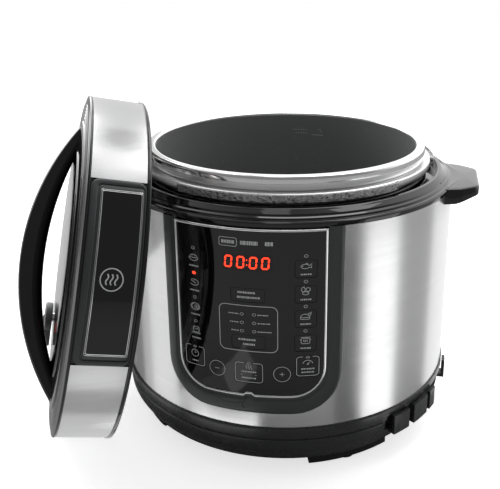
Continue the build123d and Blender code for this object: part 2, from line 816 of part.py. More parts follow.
overlay_blank = curved_slab(
    panel_half - frame_line - 0.05,
    panel_bottom + frame_line + 0.05,
    panel_top - frame_line - 0.05,
    panel_corner - frame_line,
    overlay_back,
    overlay_face,
)
display_shape = ("block", display_width, display_height)
lamp_shape = ("round", 1.8, 1.8)
lamps = {}
for row in range(4):
    lamp_z = column_top_z - row * column_pitch + lamp_rise
    lamps[f"left_{row}"] = (-column_x, lamp_z)
    lamps[f"right_{row}"] = (column_x, lamp_z)
for row in range(3):
    menu_lamp_z = panel_top - menu_lamp_drop - row * menu_lamp_pitch
    lamps[f"menu_left_{row}"] = (-menu_lamp_x, menu_lamp_z)
    lamps[f"menu_right_{row}"] = (menu_lamp_x, menu_lamp_z)
with BuildPart() as panel_overlay:
    add(overlay_blank)
    notch_shape = ("round", 2 * notch_radius + 0.1, 0)
    cuts = [(notch_shape, 0, panel_bottom, 0), (display_shape, 0, display_z, 0.05)]
    cuts += [(shape, x, z, key_gap) for shape, x, z in keys.values()]
    cuts += [(lamp_shape, x, z, 0.05) for x, z in lamps.values()]
    for shape, x, z, grow in cuts:
        add(curved_button(shape, x, z, grow, board_front, THROUGH), mode=Mode.SUBTRACT)
save(panel_overlay.part, "panel_overlay")

with BuildPart() as display_window:
    add(curved_button(display_shape, 0, display_z, 0, overlay_back + 0.2, overlay_face - 0.1))
save(display_window.part, "display_window")

with BuildPart() as indicator_lights:
    for x, z in lamps.values():
        add(curved_button(lamp_shape, x, z, 0, overlay_back - 2, overlay_face))
save(indicator_lights.part, "indicator_lights")

# keys: a cap flush with the overlay and a wider flange behind it
for name, (shape, x, z) in keys.items():
    flange_front = overlay_back - 0.1
    flange_back = flange_front - key_flange_thickness
    cap = curved_button(shape, x, z, 0, flange_back, overlay_face - key_face_drop)
    flange = curved_button(shape, x, z, key_flange, flange_back, flange_front)
    with BuildPart() as key:
        add(cap)
        add(flange)
    save(key.part, name)

switch_body = 3.4
with BuildPart() as tact_switches:
    for name, (shape, x, z) in keys.items():
        key_back = overlay_back - 0.1 - key_flange_thickness
        centre_gap = math.sqrt(key_back**2 - x * x) - board_front
        with BuildSketch(front.offset(board_front - SKETCH_LIFT)):
            with Locations((x, z)):
                Rectangle(6, 6)
        extrude(amount=switch_body)
        with BuildSketch(front.offset(board_front - SKETCH_LIFT + switch_body)):
            with Locations((x, z)):
                Circle(1.7)
        extrude(amount=centre_gap - switch_body - key_travel - seat_gap - 0.9)
save(tact_switches.part, "tact_switches")

with BuildPart() as display_module:
    with BuildSketch(front.offset(board_front - SKETCH_LIFT)):
        with Locations((0, display_z)):
            Rectangle(display_width + 6, display_height + 3)
    extrude(amount=overlay_back - board_front - 2.5)
save(display_module.part, "display_module")

with BuildPart() as control_board:
    with BuildSketch(front.offset(board_front - SKETCH_LIFT)):
        with Locations(board_centre):
            Rectangle(2 * board_half, board_high - board_low)
            with GridLocations(*board_screw_grid):
                Circle(screw_hole, mode=Mode.SUBTRACT)
    extrude(amount=-board_thickness)
save(control_board.part, "control_board")

# ---------------------------------------------------------------- screws of the body
with BuildPart() as body_screws:
    with BuildSketch(Plane.XY.offset(pan_floor - 1.5)):
        with PolarLocations(service_screw_circle, 4, start_angle=45):
            Circle(3.2)
    extrude(amount=-1.8)
    with BuildSketch(Plane.XY.offset(pan_floor - 1.5)):
        with PolarLocations(service_screw_circle, 4, start_angle=45):
            Circle(1.5)
    extrude(amount=1.5 + pan_wall)
    for size, depth in ((2.8, -1.6), (1.4, board_thickness)):
        with BuildSketch(front.offset(board_front - board_thickness - SKETCH_LIFT)):
            with Locations(board_centre):
                with GridLocations(*board_screw_grid):
                    Circle(size)
        extrude(amount=depth)
save(body_screws.part, "body_screws")

# ---------------------------------------------------------------- power inlet at the rear
inlet_face = body_radius + 3.0
inlet_back = body_radius - 15.0
socket_width = 25.0
socket_height = 17.0
socket_depth = 15.0
with BuildPart() as power_inlet:
    with BuildSketch(rear.offset(inlet_back - SKETCH_LIFT)):
        with Locations((0, inlet_z)):
            RectangleRounded(inlet_width, inlet_height, inlet_corner)
    extrude(amount=inlet_face - inlet_back)
    with BuildSketch(rear.offset(inlet_face - SKETCH_LIFT)):
        with Locations((0, inlet_z)):
            RectangleRounded(socket_width, socket_height, 3)
    extrude(amount=-socket_depth, mode=Mode.SUBTRACT)
save(power_inlet.part, "power_inlet")

with BuildPart() as inlet_pins:
    with BuildSketch(rear.offset(inlet_face - socket_depth - SKETCH_LIFT)):
        with Locations((-7, inlet_z - 2), (7, inlet_z - 2), (0, inlet_z + 2)):
            Rectangle(2, 4)
    extrude(amount=socket_depth - 3)
save(inlet_pins.part, "inlet_pins")

# ---------------------------------------------------------------- condensation cup at the rear
cup_wall = 1.6
cup_inner_face = body_radius + 4.5
cup_depth = 24.0
cup_width = 56.0
cup_height = 46.0
cup_top = cup_z + 13.0
cup_corner = 6.0
cup_slide_gap = 0.3
with BuildPart() as cup_holder:
    with BuildSketch(rear):
        with Locations((0, cup_z)):
            RectangleRounded(40, 20, 3)
    extrude(amount=cup_inner_face - cup_slide_gap - SKETCH_LIFT)
    with BuildSketch(Plane.XY.offset(shell_bottom)):
        Circle(THROUGH)
        Circle(body_radius, mode=Mode.SUBTRACT)
    extrude(amount=shell_top, mode=Mode.INTERSECT)
    with BuildSketch(rear.offset(cup_inner_face - cup_slide_gap - 1 - SKETCH_LIFT)):
        with Locations((0, cup_z)):
            Rectangle(cup_tongue_width, cup_tongue_thick)
    extrude(amount=1 + cup_slide_gap + cup_wall + 8)
save(cup_holder.part, "cup_holder")

with BuildPart() as condensation_cup:
    with BuildSketch(Plane.XY.offset(cup_top)):
        with Locations((0, cup_inner_face + cup_depth / 2)):
            RectangleRounded(cup_width, cup_depth, cup_corner)
    extrude(amount=-cup_height)
    with BuildSketch(Plane.XY.offset(cup_top)):
        with Locations((0, cup_inner_face + cup_depth / 2)):
            RectangleRounded(cup_width - 2 * cup_wall, cup_depth - 2 * cup_wall, cup_corner - cup_wall)
    extrude(amount=-cup_height + cup_wall, mode=Mode.SUBTRACT)
    with BuildSketch(rear.offset(cup_inner_face - 1 - SKETCH_LIFT)):
        with Locations((0, cup_z)):
            Rectangle(cup_tongue_width + 2 * cup_slide_gap, cup_tongue_thick + 2 * cup_slide_gap)
    extrude(amount=cup_wall + 2, mode=Mode.SUBTRACT)
save(condensation_cup.part, "condensation_cup")

# ---------------------------------------------------------------- lid: shell pieces
badge_half = 63.7
badge_low = rim_lip + 0.4
badge_high = cover_seat - 0.6

with BuildPart() as lid_skirt:
    with BuildSketch(lid_section):
        with BuildLine():
            Polyline(
                (rim_inner, 0),
                (lid_radius - 1, 0),
                (lid_radius, 1),
                (lid_radius, rim_lip),
                (skirt_radius, rim_lip),
                (skirt_radius, cover_seat),
                (skirt_inner, cover_seat),
                (skirt_inner, rim_lip + 1),
                (rim_inner, rim_lip),
                close=True,
            )
        make_face()
    revolve(axis=lid_axis)
save(lid_skirt.part, "lid_skirt")

with BuildPart() as lid_band:
    with BuildSketch(lid_level(rim_lip + 0.2)):
        Circle(lid_band_radius)
        Circle(skirt_radius, mode=Mode.SUBTRACT)
    extrude(amount=cover_seat - rim_lip - 0.4)
    with BuildSketch(lid_front):
        with Locations((0, (badge_low + badge_high) / 2)):
            Rectangle(2 * badge_half, badge_high - badge_low + 6)
    extrude(amount=CUT_LENGTH, mode=Mode.SUBTRACT)
save(lid_band.part, "lid_band")

# the cover's top, stepping down from the middle: radius and height
cover_steps = (
    (0, lid_dome_top),
    (lid_cover_radius - 79.6, lid_dome_top - 0.8),
    (lid_cover_radius - 43.6, lid_dome_top - 1.9),
    (lid_cover_radius - 42.6, lid_dome_top - 3.2),
    (lid_cover_radius - 21.6, lid_dome_top - 3.9),
    (lid_cover_radius - 20.6, lid_dome_top - 4.9),
    (lid_cover_radius - 9.6, lid_dome_top - 5.5),
    (lid_cover_radius - 8.6, lid_dome_top - 6.6),
    (lid_cover_radius - 3.6, lid_dome_top - 7.0),
)
pipe_hole = 6.2
float_hole = 4.3
with BuildPart() as lid_cover:
    with BuildSketch(lid_section):
        with BuildLine():
            Polyline(
                *cover_steps,
                (lid_cover_radius, cover_seat + 1.2),
                (lid_cover_radius, cover_seat),
                (skirt_inner - 3, cover_seat),
                (skirt_inner - 6, cover_seat - 1),
                (lid_cover_radius - 39.6, lid_dome_top - 6.0),
                (0, lid_dome_top - 3.5),
                close=True,
            )
        make_face()
    revolve(axis=lid_axis)
    with BuildSketch(lid_level(lid_dome_top - 10)):
        with Locations((valve_x, valve_y)):
            Circle(pipe_hole)
        with Locations((valve_x, float_y)):
            Circle(float_hole)
    extrude(amount=20, mode=Mode.SUBTRACT)
save(lid_cover.part, "lid_cover")

# ---------------------------------------------------------------- lid: badge on the band


def lid_slab(half_width, low, high, corner, radius_in, radius_out):
    """Part of the lid's cylindrical side with this rounded outline."""
    with BuildPart() as slab:
        with BuildSketch(lid_front):
            with Locations((0, (low + high) / 2)):
                RectangleRounded(2 * half_width, high - low, corner)
        extrude(amount=CUT_LENGTH)
        with BuildSketch(lid_level(0)):
            Circle(radius_out)
            Circle(radius_in, mode=Mode.SUBTRACT)
        extrude(amount=60, mode=Mode.INTERSECT)
    return slab.part


badge_back = skirt_radius
badge_front = lid_cover_radius + 0.6
border_end = 4.0             # edge of the surround outside its recess
border_low = 1.0
border_high = 5.2
step_end = 3.2               # recess outside the bright line
step_low = 1.0
step_high = 1.6
badge_line = 1.4             # width of the bright line
recess_half = badge_half - border_end
recess_low = badge_low + border_low
recess_high = badge_high - border_high
line_half = recess_half - step_end
line_low = recess_low + step_low
line_high = recess_high - step_high
with BuildPart() as badge_surround:
    add(lid_slab(badge_half - 0.1, badge_low - 0.1, badge_high + 0.1, 5, badge_back, badge_front))
    add(
        lid_slab(recess_half, recess_low, recess_high, 2.2, badge_front - 1.0, badge_front + 5),
        mode=Mode.SUBTRACT,
    )
save(badge_surround.part, "badge_surround")

with BuildPart() as badge_frame:
    add(lid_slab(line_half, line_low, line_high, 1.2, badge_front - 1.0, badge_front + 0.3))
    add(
        lid_slab(
            line_half - badge_line,
            line_low + badge_line,
            line_high - badge_line,
            0.6,
            badge_front - 3,
            badge_front + 5,
        ),
        mode=Mode.SUBTRACT,
    )
save(badge_frame.part, "badge_frame")

plate_inset = badge_line + 0.05
with BuildPart() as badge_plate:
    add(
        lid_slab(
            line_half - plate_inset,
            line_low + plate_inset,
            line_high - plate_inset,
            0.6,
            badge_front - 1.0,
            badge_front,
        )
    )
save(badge_plate.part, "badge_plate")

# ---------------------------------------------------------------- lid: arched grip
grip_foot = cover_seat + 4.4
grip_flare = 5.0
grip_inner_half = grip_half_span - grip_foot_length
with BuildPart() as lid_grip:
    with BuildSketch(lid_section.offset(-grip_half_width - grip_flare - 1)):
        with BuildLine():
            ThreePointArc((-grip_half_span, grip_foot), (0, grip_top), (grip_half_span, grip_foot))
            Line((grip_half_span, grip_foot), (grip_inner_half, grip_foot))
            ThreePointArc((grip_inner_half, grip_foot), (0, grip_clear), (-grip_inner_half, grip_foot))
            Line((-grip_inner_half, grip_foot), (-grip_half_span, grip_foot))
        make_face()
    extrude(amount=2 * (grip_half_width + grip_flare + 1))
    with BuildSketch(lid_level(0)):
        with BuildLine():
            end = grip_half_span + 1
            flare = grip_half_width + grip_flare
            ThreePointArc((-end, flare), (0, grip_half_width), (end, flare))
            Line((end, flare), (end, -flare))
            ThreePointArc((end, -flare), (0, -grip_half_width), (-end, -flare))
            Line((-end, -flare), (-end, flare))
        make_face()
    extrude(amount=grip_top + 10, mode=Mode.INTERSECT)
    with BuildSketch(lid_section):
        with BuildLine():
            Polyline(*cover_steps[:5], (cover_steps[4][0], 0), (0, 0), close=True)
        make_face()
    revolve(axis=lid_axis, mode=Mode.SUBTRACT)
save(lid_grip.part, "lid_grip")

# ---------------------------------------------------------------- lid: pressure pieces inside
inner_plate = lid_cavity_depth + 2.2
pipe_radius = 4.0
pipe_bore = 2.0
inner_sheet = 1.4
claw_radius_in = flange_radius + 0.7
claw_radius_out = lid_radius - 9.8
claw_height = 2.5
claw_start = -20.0          # first claw, degrees round the lid's axis
claw_gap = 2.0               # degrees between a claw's end and a lug's, when the lid is on
with BuildPart() as inner_lid:
    with BuildSketch(lid_section):
        with BuildLine():
            Polyline(
                (0, inner_plate),
                (claw_radius_out, inner_plate),
                (claw_radius_out, rim_lip + 0.5),
                (claw_radius_out + inner_sheet, rim_lip + 0.5),
                (claw_radius_out + inner_sheet, inner_plate + inner_sheet + 0.1),
                (0, inner_plate + inner_sheet + 0.1),
                close=True,
            )
        make_face()
    revolve(axis=lid_axis)
    for lug in range(lug_count):
        with BuildSketch(lid_level(rim_lip + 0.5)):
            Circle(claw_radius_out + 0.4)
            Circle(claw_radius_in, mode=Mode.SUBTRACT)
            with BuildLine():
                start = math.radians(claw_start + lug * FULL_TURN / lug_count)
                stop = start + math.radians(FULL_TURN / lug_count - lug_arc - claw_gap)
                Polyline(
                    (0, 0),
                    (THROUGH * math.cos(start), THROUGH * math.sin(start)),
                    (THROUGH * math.cos(stop), THROUGH * math.sin(stop)),
                    close=True,
                )
            make_face(mode=Mode.INTERSECT)
        extrude(amount=claw_height)
    with BuildSketch(lid_level(inner_plate - 1)):
        with Locations((valve_x, valve_y)):
            Circle(pipe_radius + 0.1)
        with Locations((valve_x, float_y)):
            Circle(float_hole)
    extrude(amount=5, mode=Mode.SUBTRACT)
save(inner_lid.part, "inner_lid")

seal_outer = pot_rim_radius + 3.0
cover_plate_radius = pot_mouth_radius + 2.0
with BuildPart() as seal_plate:
    with BuildSketch(lid_level(lid_cavity_depth)):
        Circle(cover_plate_radius)
        with Locations((valve_x, valve_y)):
            Circle(pipe_radius + 0.1, mode=Mode.SUBTRACT)
        with Locations((valve_x, float_y)):
            Circle(float_hole, mode=Mode.SUBTRACT)
    extrude(amount=inner_plate - lid_cavity_depth)
save(seal_plate.part, "seal_plate")

with BuildPart() as sealing_ring:
    with BuildSketch(lid_section):
        with BuildLine():
            Polyline(
                (cover_plate_radius + 0.3, inner_plate),
                (seal_outer + 1.5, inner_plate),
                (seal_outer + 1.5, inner_plate - 3),
                (seal_outer, inner_plate - 9.5),
                (seal_outer - 3, inner_plate - 10.5),
                (seal_outer - 3.5, inner_plate - 9.5),
                (seal_outer - 2.5, inner_plate - 4),
                (cover_plate_radius + 0.3, inner_plate - 2.5),
                close=True,
            )
        make_face()
    revolve(axis=lid_axis)
save(sealing_ring.part, "sealing_ring")

with BuildPart() as centre_nut:
    with BuildSketch(lid_level(lid_cavity_depth)):
        RegularPolygon(9, 6)
    extrude(amount=-5)
    with BuildSketch(lid_level(lid_cavity_depth - 5)):
        Circle(5)
    extrude(amount=-2.5)
save(centre_nut.part, "centre_nut")

with BuildPart() as steam_pipe:
    with BuildSketch(lid_level(lid_cavity_depth - 2)):
        with Locations((valve_x, valve_y)):
            Circle(pipe_radius)
            Circle(pipe_bore, mode=Mode.SUBTRACT)
    extrude(amount=lid_dome_top + 3.0 - lid_cavity_depth + 2)
    with BuildSketch(lid_level(inner_plate + inner_sheet + 0.1)):
        with Locations((valve_x, valve_y)):
            RegularPolygon(6.5, 6)
            Circle(pipe_bore, mode=Mode.SUBTRACT)
    extrude(amount=4)
save(steam_pipe.part, "steam_pipe")

filter_radius = 10.0
filter_wall = 1.4
filter_height = 9.0
with BuildPart() as steam_filter:
    with BuildSketch(lid_level(lid_cavity_depth)):
        with Locations((valve_x, valve_y)):
            Circle(filter_radius)
            Circle(filter_radius - filter_wall, mode=Mode.SUBTRACT)
    extrude(amount=-filter_height)
    with BuildSketch(lid_level(lid_cavity_depth - filter_height)):
        with Locations((valve_x, valve_y)):
            Circle(filter_radius)
            with PolarLocations(5.5, 6):
                Circle(1.4, mode=Mode.SUBTRACT)
    extrude(amount=filter_wall)
save(steam_filter.part, "steam_filter")

valve_base = lid_dome_top + 0.3
with BuildPart() as steam_valve:
    with BuildSketch(lid_level(valve_base)):
        with Locations((valve_x, valve_y)):
            Circle(12.5)
    extrude(amount=6)
    with BuildSketch(lid_level(valve_base)):
        with Locations((valve_x - 13, valve_y)):
            RectangleRounded(24, 9, 3)
    extrude(amount=7.5)
    with BuildSketch(lid_level(valve_base)):
        with Locations((valve_x, valve_y)):
            Circle(pipe_radius + 0.05)
    extrude(amount=4, mode=Mode.SUBTRACT)
save(steam_valve.part, "steam_valve")

float_travel = 3.0
float_head = 2.0
float_foot = lid_cavity_depth - float_travel - float_head - 0.5
with BuildPart() as float_valve:
    with BuildSketch(lid_level(float_foot)):
        with Locations((valve_x, float_y)):
            Circle(6.0)
    extrude(amount=float_head)
    with BuildSketch(lid_level(float_foot)):
        with Locations((valve_x, float_y)):
            Circle(float_hole - 0.4)
    extrude(amount=lid_dome_top - 0.5 - float_foot)
save(float_valve.part, "float_valve")

screw_circle = claw_radius_out - 2.9
with BuildPart() as lid_screws:
    with BuildSketch(lid_level(inner_plate)):
        with PolarLocations(screw_circle, 6, start_angle=15):
            Circle(2.6)
    extrude(amount=-1.8)
save(lid_screws.part, "lid_screws")

print(len(exported), "pieces; lid origin", lid_origin)
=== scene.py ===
"""Electric pressure cooker with its lid off: visible surfaces, finishes, floor, light and camera.

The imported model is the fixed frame. Profiles and outlines are in millimetres, and a Seat turns them
into metres in the frame's own axes.
"""
import json
import math
import bmesh
import bpy
import numpy as np
from bpy.props import FloatProperty, FloatVectorProperty, IntProperty, PointerProperty
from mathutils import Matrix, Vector


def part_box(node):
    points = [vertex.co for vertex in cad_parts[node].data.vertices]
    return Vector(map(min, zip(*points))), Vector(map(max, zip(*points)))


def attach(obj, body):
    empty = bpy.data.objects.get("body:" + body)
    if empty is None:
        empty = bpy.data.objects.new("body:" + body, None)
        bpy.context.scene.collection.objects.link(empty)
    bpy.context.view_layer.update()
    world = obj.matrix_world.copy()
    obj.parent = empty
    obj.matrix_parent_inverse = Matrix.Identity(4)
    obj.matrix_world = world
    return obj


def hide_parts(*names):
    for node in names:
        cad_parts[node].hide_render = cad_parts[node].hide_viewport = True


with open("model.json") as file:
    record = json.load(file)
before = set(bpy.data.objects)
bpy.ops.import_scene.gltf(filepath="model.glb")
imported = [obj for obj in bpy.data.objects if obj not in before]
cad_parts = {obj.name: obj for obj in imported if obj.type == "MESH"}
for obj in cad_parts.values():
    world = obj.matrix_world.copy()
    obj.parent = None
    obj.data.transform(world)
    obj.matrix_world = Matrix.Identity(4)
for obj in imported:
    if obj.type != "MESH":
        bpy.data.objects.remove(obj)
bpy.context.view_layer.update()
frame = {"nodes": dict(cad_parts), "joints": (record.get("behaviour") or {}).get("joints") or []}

bl_info = {
    "name": "Pressure Cooker", "version": (1, 0, 0), "blender": (4, 5, 0),
    "location": "View3D > Sidebar > Cooker",
    "description": "Builds the visible surfaces and finishes of an electric pressure cooker",
    "category": "Add Mesh"
}

MM = 0.001
LOOP_RUN = 2.5  # longest run of a closed outline, mm
PRINT_SINK = 0.02  # depth of the print's foot in the face under it, mm
RIM_WIDTH = 8.0  # from the pot's mouth to the edge of its rim, mm
POT_WALL = 1.5  # thickness of the pot's wall, mm
HEADING = 196.0  # height of the heading's middle on the overlay, mm
LIT_LAMP = (-41.8, 167.3)  # place of the one lamp that is lit, across and up, mm
EYE_TURN = 11.0  # angle of the camera from the front, degrees
EYE_DOWN = 17.68  # angle it looks down, degrees
EYE_AWAY = 0.6297  # distance of the camera from the cooker's axis, m
EYE_HIGH = 0.3871  # height of the camera, m


# Places
class Seat:
    """An axis with its origin, the direction across, and the direction faced at angle zero."""

    def __init__(self, origin, across, front, axis):
        self.origin = np.array(origin, float)
        self.across = np.array(across, float)
        self.front = np.array(front, float)
        self.axis = np.array(axis, float)

    def point(self, x, y, height):
        """Origin plus x times across, plus y times front, plus height times the axis."""
        x, y, height = (v[..., None] for v in np.broadcast_arrays(x, y, height))
        return self.origin + MM * (x * self.across + y * self.front + height * self.axis)

    def turn(self, radius, angle, height):
        """Radius times the sine of the angle goes across, radius times its cosine to the front."""
        return self.point(radius * np.sin(angle), radius * np.cos(angle), height)

    def wall(self, x, height, radius):
        """On a round wall the depth is the root of the radius squared less x squared."""
        return self.point(x, np.sqrt(radius * radius - x * x), height)

    def local(self, node):
        """A CAD node's corners as x, y and height in this seat, in millimetres."""
        corners = np.array([v.co for v in frame["nodes"][node].data.vertices], float) - self.origin
        return corners @ np.column_stack([self.across, self.front, self.axis]) / MM

    def reach(self, node):
        """Largest distance of a node from the axis."""
        return np.hypot(*self.local(node)[:, :2].T).max()

    def span(self, node):
        """Lowest and highest place of a node along the axis."""
        height = self.local(node)[:, 2]
        return height.min(), height.max()

    def middle(self, node):
        """Middle of a node's extent across and to the front."""
        corners = self.local(node)[:, :2]
        return (corners.min(0) + corners.max(0)) / 2


def joint(name):
    """The record's joint of this name."""
    return next(j for j in frame["joints"] if j["name"] == name)


def lid_seat():
    """The lid's axis is its lift joint's, its front the badge's middle, its origin its rim's middle."""
    axis = np.array(joint("lid_lift")["axis"], float)
    up = np.array((0.0, 0.0, 1.0)) - axis[2] * axis
    up /= np.linalg.norm(up)
    seat = Seat((0, 0, 0), up, np.cross(up, axis), axis)
    x, y = seat.middle("lid_skirt")
    seat = Seat(seat.point(x, y, seat.span("lid_skirt")[0]), seat.across, seat.front, axis)
    place = seat.local("badge_plate")
    angle = np.arctan2(place[:, 0], place[:, 1])
    turn = (angle.min() + angle.max()) / 2
    front = math.cos(turn) * seat.front + math.sin(turn) * seat.across
    return Seat(seat.origin, np.cross(axis, front), front, axis)


COOKER = Seat((0, 0, 0), (1, 0, 0), (0, -1, 0), (0, 0, 1))
LID = lid_seat()


# Paths
def rounded(points, radii, steps=5):
    """Path with its corners turned into arcs.

    An arc leaves the straight run radius times the tangent of half the turn before the corner, and
    its points are the two end spokes weighted by the sines of the two parts of the turn.
    """
    points = np.array(points, float)
    radii = np.broadcast_to(radii, len(points))
    path = [points[:1]]
    for before, corner, after, radius in zip(points, points[1:], points[2:], radii[1:]):
        way_in = (corner - before) / np.linalg.norm(corner - before)
        way_out = (after - corner) / np.linalg.norm(after - corner)
        turn = math.acos(np.clip(way_in @ way_out, -1, 1))
        if radius == 0 or turn < 0.001:
            path.append(np.repeat(corner[None], steps + 1, 0))
            continue
        inward = (way_out - way_in) / np.linalg.norm(way_out - way_in)
        centre = corner + inward * radius / math.cos(turn / 2)
        setback = radius * math.tan(turn / 2)
        first = corner - way_in * setback - centre
        last = corner + way_out * setback - centre
        part = np.linspace(0, turn, steps + 1)[:, None]
        path.append(centre + (np.sin(turn - part) * first + np.sin(part) * last) / math.sin(turn))
    path.append(points[-1:])
    return np.concatenate(path)


def parts(path, gap):
    """How many equal parts each run needs so that none is longer than the gap."""
    return np.maximum(1, np.ceil(np.linalg.norm(np.diff(path, axis=0), axis=1) / gap)).astype(int)


def divided(path, counts):
    """The same path with each run cut into its count of equal parts."""
    share = np.concatenate([k + np.arange(n) / n for k, n in enumerate(counts)] + [[len(counts)]])
    return np.column_stack([np.interp(share, np.arange(len(path)), axis) for axis in path.T])


def sideways(line, closed=True):
    """Unit vectors to the left of a path at each of its points."""
    along = np.roll(line, -1, 0) - np.roll(line, 1, 0) if closed else np.gradient(line, axis=0)
    along /= np.linalg.norm(along, axis=1, keepdims=True) + 1e-9
    return np.column_stack([-along[:, 1], along[:, 0]])


def inset(loop, amount):
    """Closed counter-clockwise loop moved inwards along its normals by the amount."""
    return loop + amount * sideways(loop)


def rounded_block(x, z, width, height, corner, steps=7):
    """Rectangle with round corners, from its lower middle counter-clockwise round to there again."""
    w = width / 2
    h = height / 2
    corners = [(x, z - h), (x + w, z - h), (x + w, z + h), (x - w, z + h), (x - w, z - h), (x, z - h)]
    return rounded(corners, corner, steps)


def block(x, z, width, height, corner, steps=5):
    """The same rectangle as a closed loop of short runs."""
    path = rounded_block(x, z, width, height, corner, steps)
    return divided(path, parts(path, LOOP_RUN))[:-1]


def oval(x, z, width, height, steps=32, start=0.0, stop=360.0):
    """Ellipse: x plus half the width times the cosine, z plus half the height times the sine."""
    angle = np.radians(np.linspace(start, stop, steps, endpoint=stop - start < 360))
    return np.column_stack([x + width / 2 * np.cos(angle), z + height / 2 * np.sin(angle)])


# Surfaces
def capped(points):
    """Both ends of a tube closed by drawing its end rings in to their middles."""
    first = np.broadcast_to(points[0].mean(0), points[0].shape)
    last = np.broadcast_to(points[-1].mean(0), points[-1].shape)
    return np.concatenate([first[None], points, last[None]]), False, True


def turned(seat, profile, start=0.0, stop=360.0, steps=240):
    """Profile of radius and height carried round the axis."""
    full = stop - start >= 360
    angle = np.radians(np.linspace(start, stop, steps, endpoint=not full))[:, None]
    points = seat.turn(profile[:, 0], angle, profile[:, 1])
    return (points, True, True) if full else capped(points)


def band(seat, outer, inner, section, ring):
    """Strip on the wall between two outlines; the section gives the share across and the radius."""
    share = np.array(section)[:, 0][None, :, None]
    radius = np.array(section)[:, 1][None, :]
    flat = outer[:, None, :] + (inner - outer)[:, None, :] * share
    points = seat.wall(flat[..., 0], flat[..., 1], radius)
    return (points, True, True) if ring else capped(points)


def plate(seat, loop, back, face, edge=0.15, rings=6):
    """Plate on the wall: its outline at the back, a softened edge, and rings in to its middle."""
    middle = loop.mean(0)
    face_loop = inset(loop, edge)
    inward = np.linspace(1, 0, rings + 1)[1:, None, None]
    back_rings = middle + (loop - middle) * inward[::-1]
    face_rings = middle + (face_loop - middle) * inward
    flat = np.concatenate([back_rings, [loop, loop, face_loop], face_rings])
    radius = np.array([back] * (rings + 1) + [face - edge] + [face] * (rings + 1))[:, None]
    return seat.wall(flat[..., 0], flat[..., 1], radius), False, True


def stroke(seat, line, width, low, high, closed=False):
    """Thin raised line: its path moved to each side by half the width, between two radii."""
    line = np.array(line, float)
    side = sideways(line, closed) * width / 2
    flat = np.stack([line + side, line + side, line - side, line - side], 1)
    points = seat.wall(flat[..., 0], flat[..., 1], np.array([low, high, high, low]))
    return (points, True, True) if closed else capped(points)


def link(item):
    """Put a new object into the scene."""
    bpy.context.scene.collection.objects.link(item)


def make_piece(name, grids, material, body, replaces=(), sharp=38.0):
    """One mesh from grids of points, with doubles merged, normals outwards and hard edges marked."""
    places = []
    faces = []
    count = 0
    for points, ring_rows, ring_columns in grids:
        rows, columns = points.shape[:2]
        index = count + np.arange(rows * columns).reshape(rows, columns)
        if ring_rows:
            index = np.vstack([index, index[:1]])
        if ring_columns:
            index = np.hstack([index, index[:, :1]])
        quads = [index[:-1, :-1], index[1:, :-1], index[1:, 1:], index[:-1, 1:]]
        faces.append(np.stack(quads, -1).reshape(-1, 4))
        places.append(points.reshape(-1, 3))
        count += rows * columns
    mesh = bpy.data.meshes.new(name)
    mesh.from_pydata(np.concatenate(places), [], np.concatenate(faces).tolist())
    shape = bmesh.new()
    shape.from_mesh(mesh)
    bmesh.ops.remove_doubles(shape, verts=shape.verts, dist=0.002 * MM)
    bmesh.ops.dissolve_degenerate(shape, edges=shape.edges, dist=0.001 * MM)
    bmesh.ops.recalc_face_normals(shape, faces=shape.faces)
    shape.to_mesh(mesh)
    shape.free()
    mesh.shade_smooth()
    mesh.set_sharp_from_angle(angle=math.radians(sharp))
    mesh.materials.append(bpy.data.materials[material])
    piece = bpy.data.objects.new(name, mesh)
    link(piece)
    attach(piece, body)
    if replaces:
        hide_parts(*replaces)
    return piece


# Sizes and colours
class CookerSizes(bpy.types.PropertyGroup):
    """Sizes of the softened edges and fine features that the frame doesn't hold."""

    rim_round: FloatProperty(name="Rim round", description="Rounding of the pot's rim, mm", default=2.6)
    edge_round: FloatProperty(name="Edge round", description="Rounding of moulded edges, mm", default=1.2)
    ink_width: FloatProperty(name="Ink width", description="Width of a printed line, mm", default=0.42)
    ink_height: FloatProperty(name="Ink height", description="Thickness of the print, mm", default=0.05)
    turn_steps: IntProperty(name="Turn steps", description="Steps round a full turn", default=240, min=48)
    lug_count: IntProperty(name="Lugs", description="Bayonet lugs on the flange", default=3, min=2)
    lug_arc: FloatProperty(name="Lug arc", description="Length of a lug in degrees", default=84.0)
    lug_start: FloatProperty(name="Lug start", description="Angle of the first lug's end", default=-30.0)


class CookerColours(bpy.types.PropertyGroup):
    """Colours of the finishes."""

    steel: FloatVectorProperty(
        name="Steel", description="Stainless steel", subtype="COLOR", default=(0.66, 0.66, 0.665)
    )
    black: FloatVectorProperty(
        name="Black", description="Gloss black plastic", subtype="COLOR", default=(0.0022, 0.0022, 0.0023)
    )
    grey: FloatVectorProperty(
        name="Grey", description="Satin dark grey plastic", subtype="COLOR", default=(0.045, 0.048, 0.049)
    )
    coating: FloatVectorProperty(
        name="Coating", description="Non-stick coating", subtype="COLOR", default=(0.2, 0.203, 0.205)
    )
    light: FloatVectorProperty(
        name="Light", description="Lit segments and lamps", subtype="COLOR", default=(1.0, 0.035, 0.01)
    )


# Shader groups
def add_node(tree, kind, inputs=None, **settings):
    """A node with its settings, its plain values and its links."""
    node = tree.nodes.new(kind)
    for key, value in settings.items():
        setattr(node, key, value)
    for key, value in (inputs or {}).items():
        if isinstance(value, bpy.types.NodeSocket):
            tree.links.new(value, node.inputs[key])
        else:
            node.inputs[key].default_value = value
    return node


def new_group(name, inputs, outputs):
    """Empty node group with these float or vector sockets, and its two end nodes."""
    group = bpy.data.node_groups.new(name, "ShaderNodeTree")
    for socket, kind in inputs:
        group.interface.new_socket(name=socket, in_out="INPUT", socket_type=kind)
    for socket, kind in outputs:
        group.interface.new_socket(name=socket, in_out="OUTPUT", socket_type=kind)
    return group, group.nodes.new("NodeGroupInput"), group.nodes.new("NodeGroupOutput")


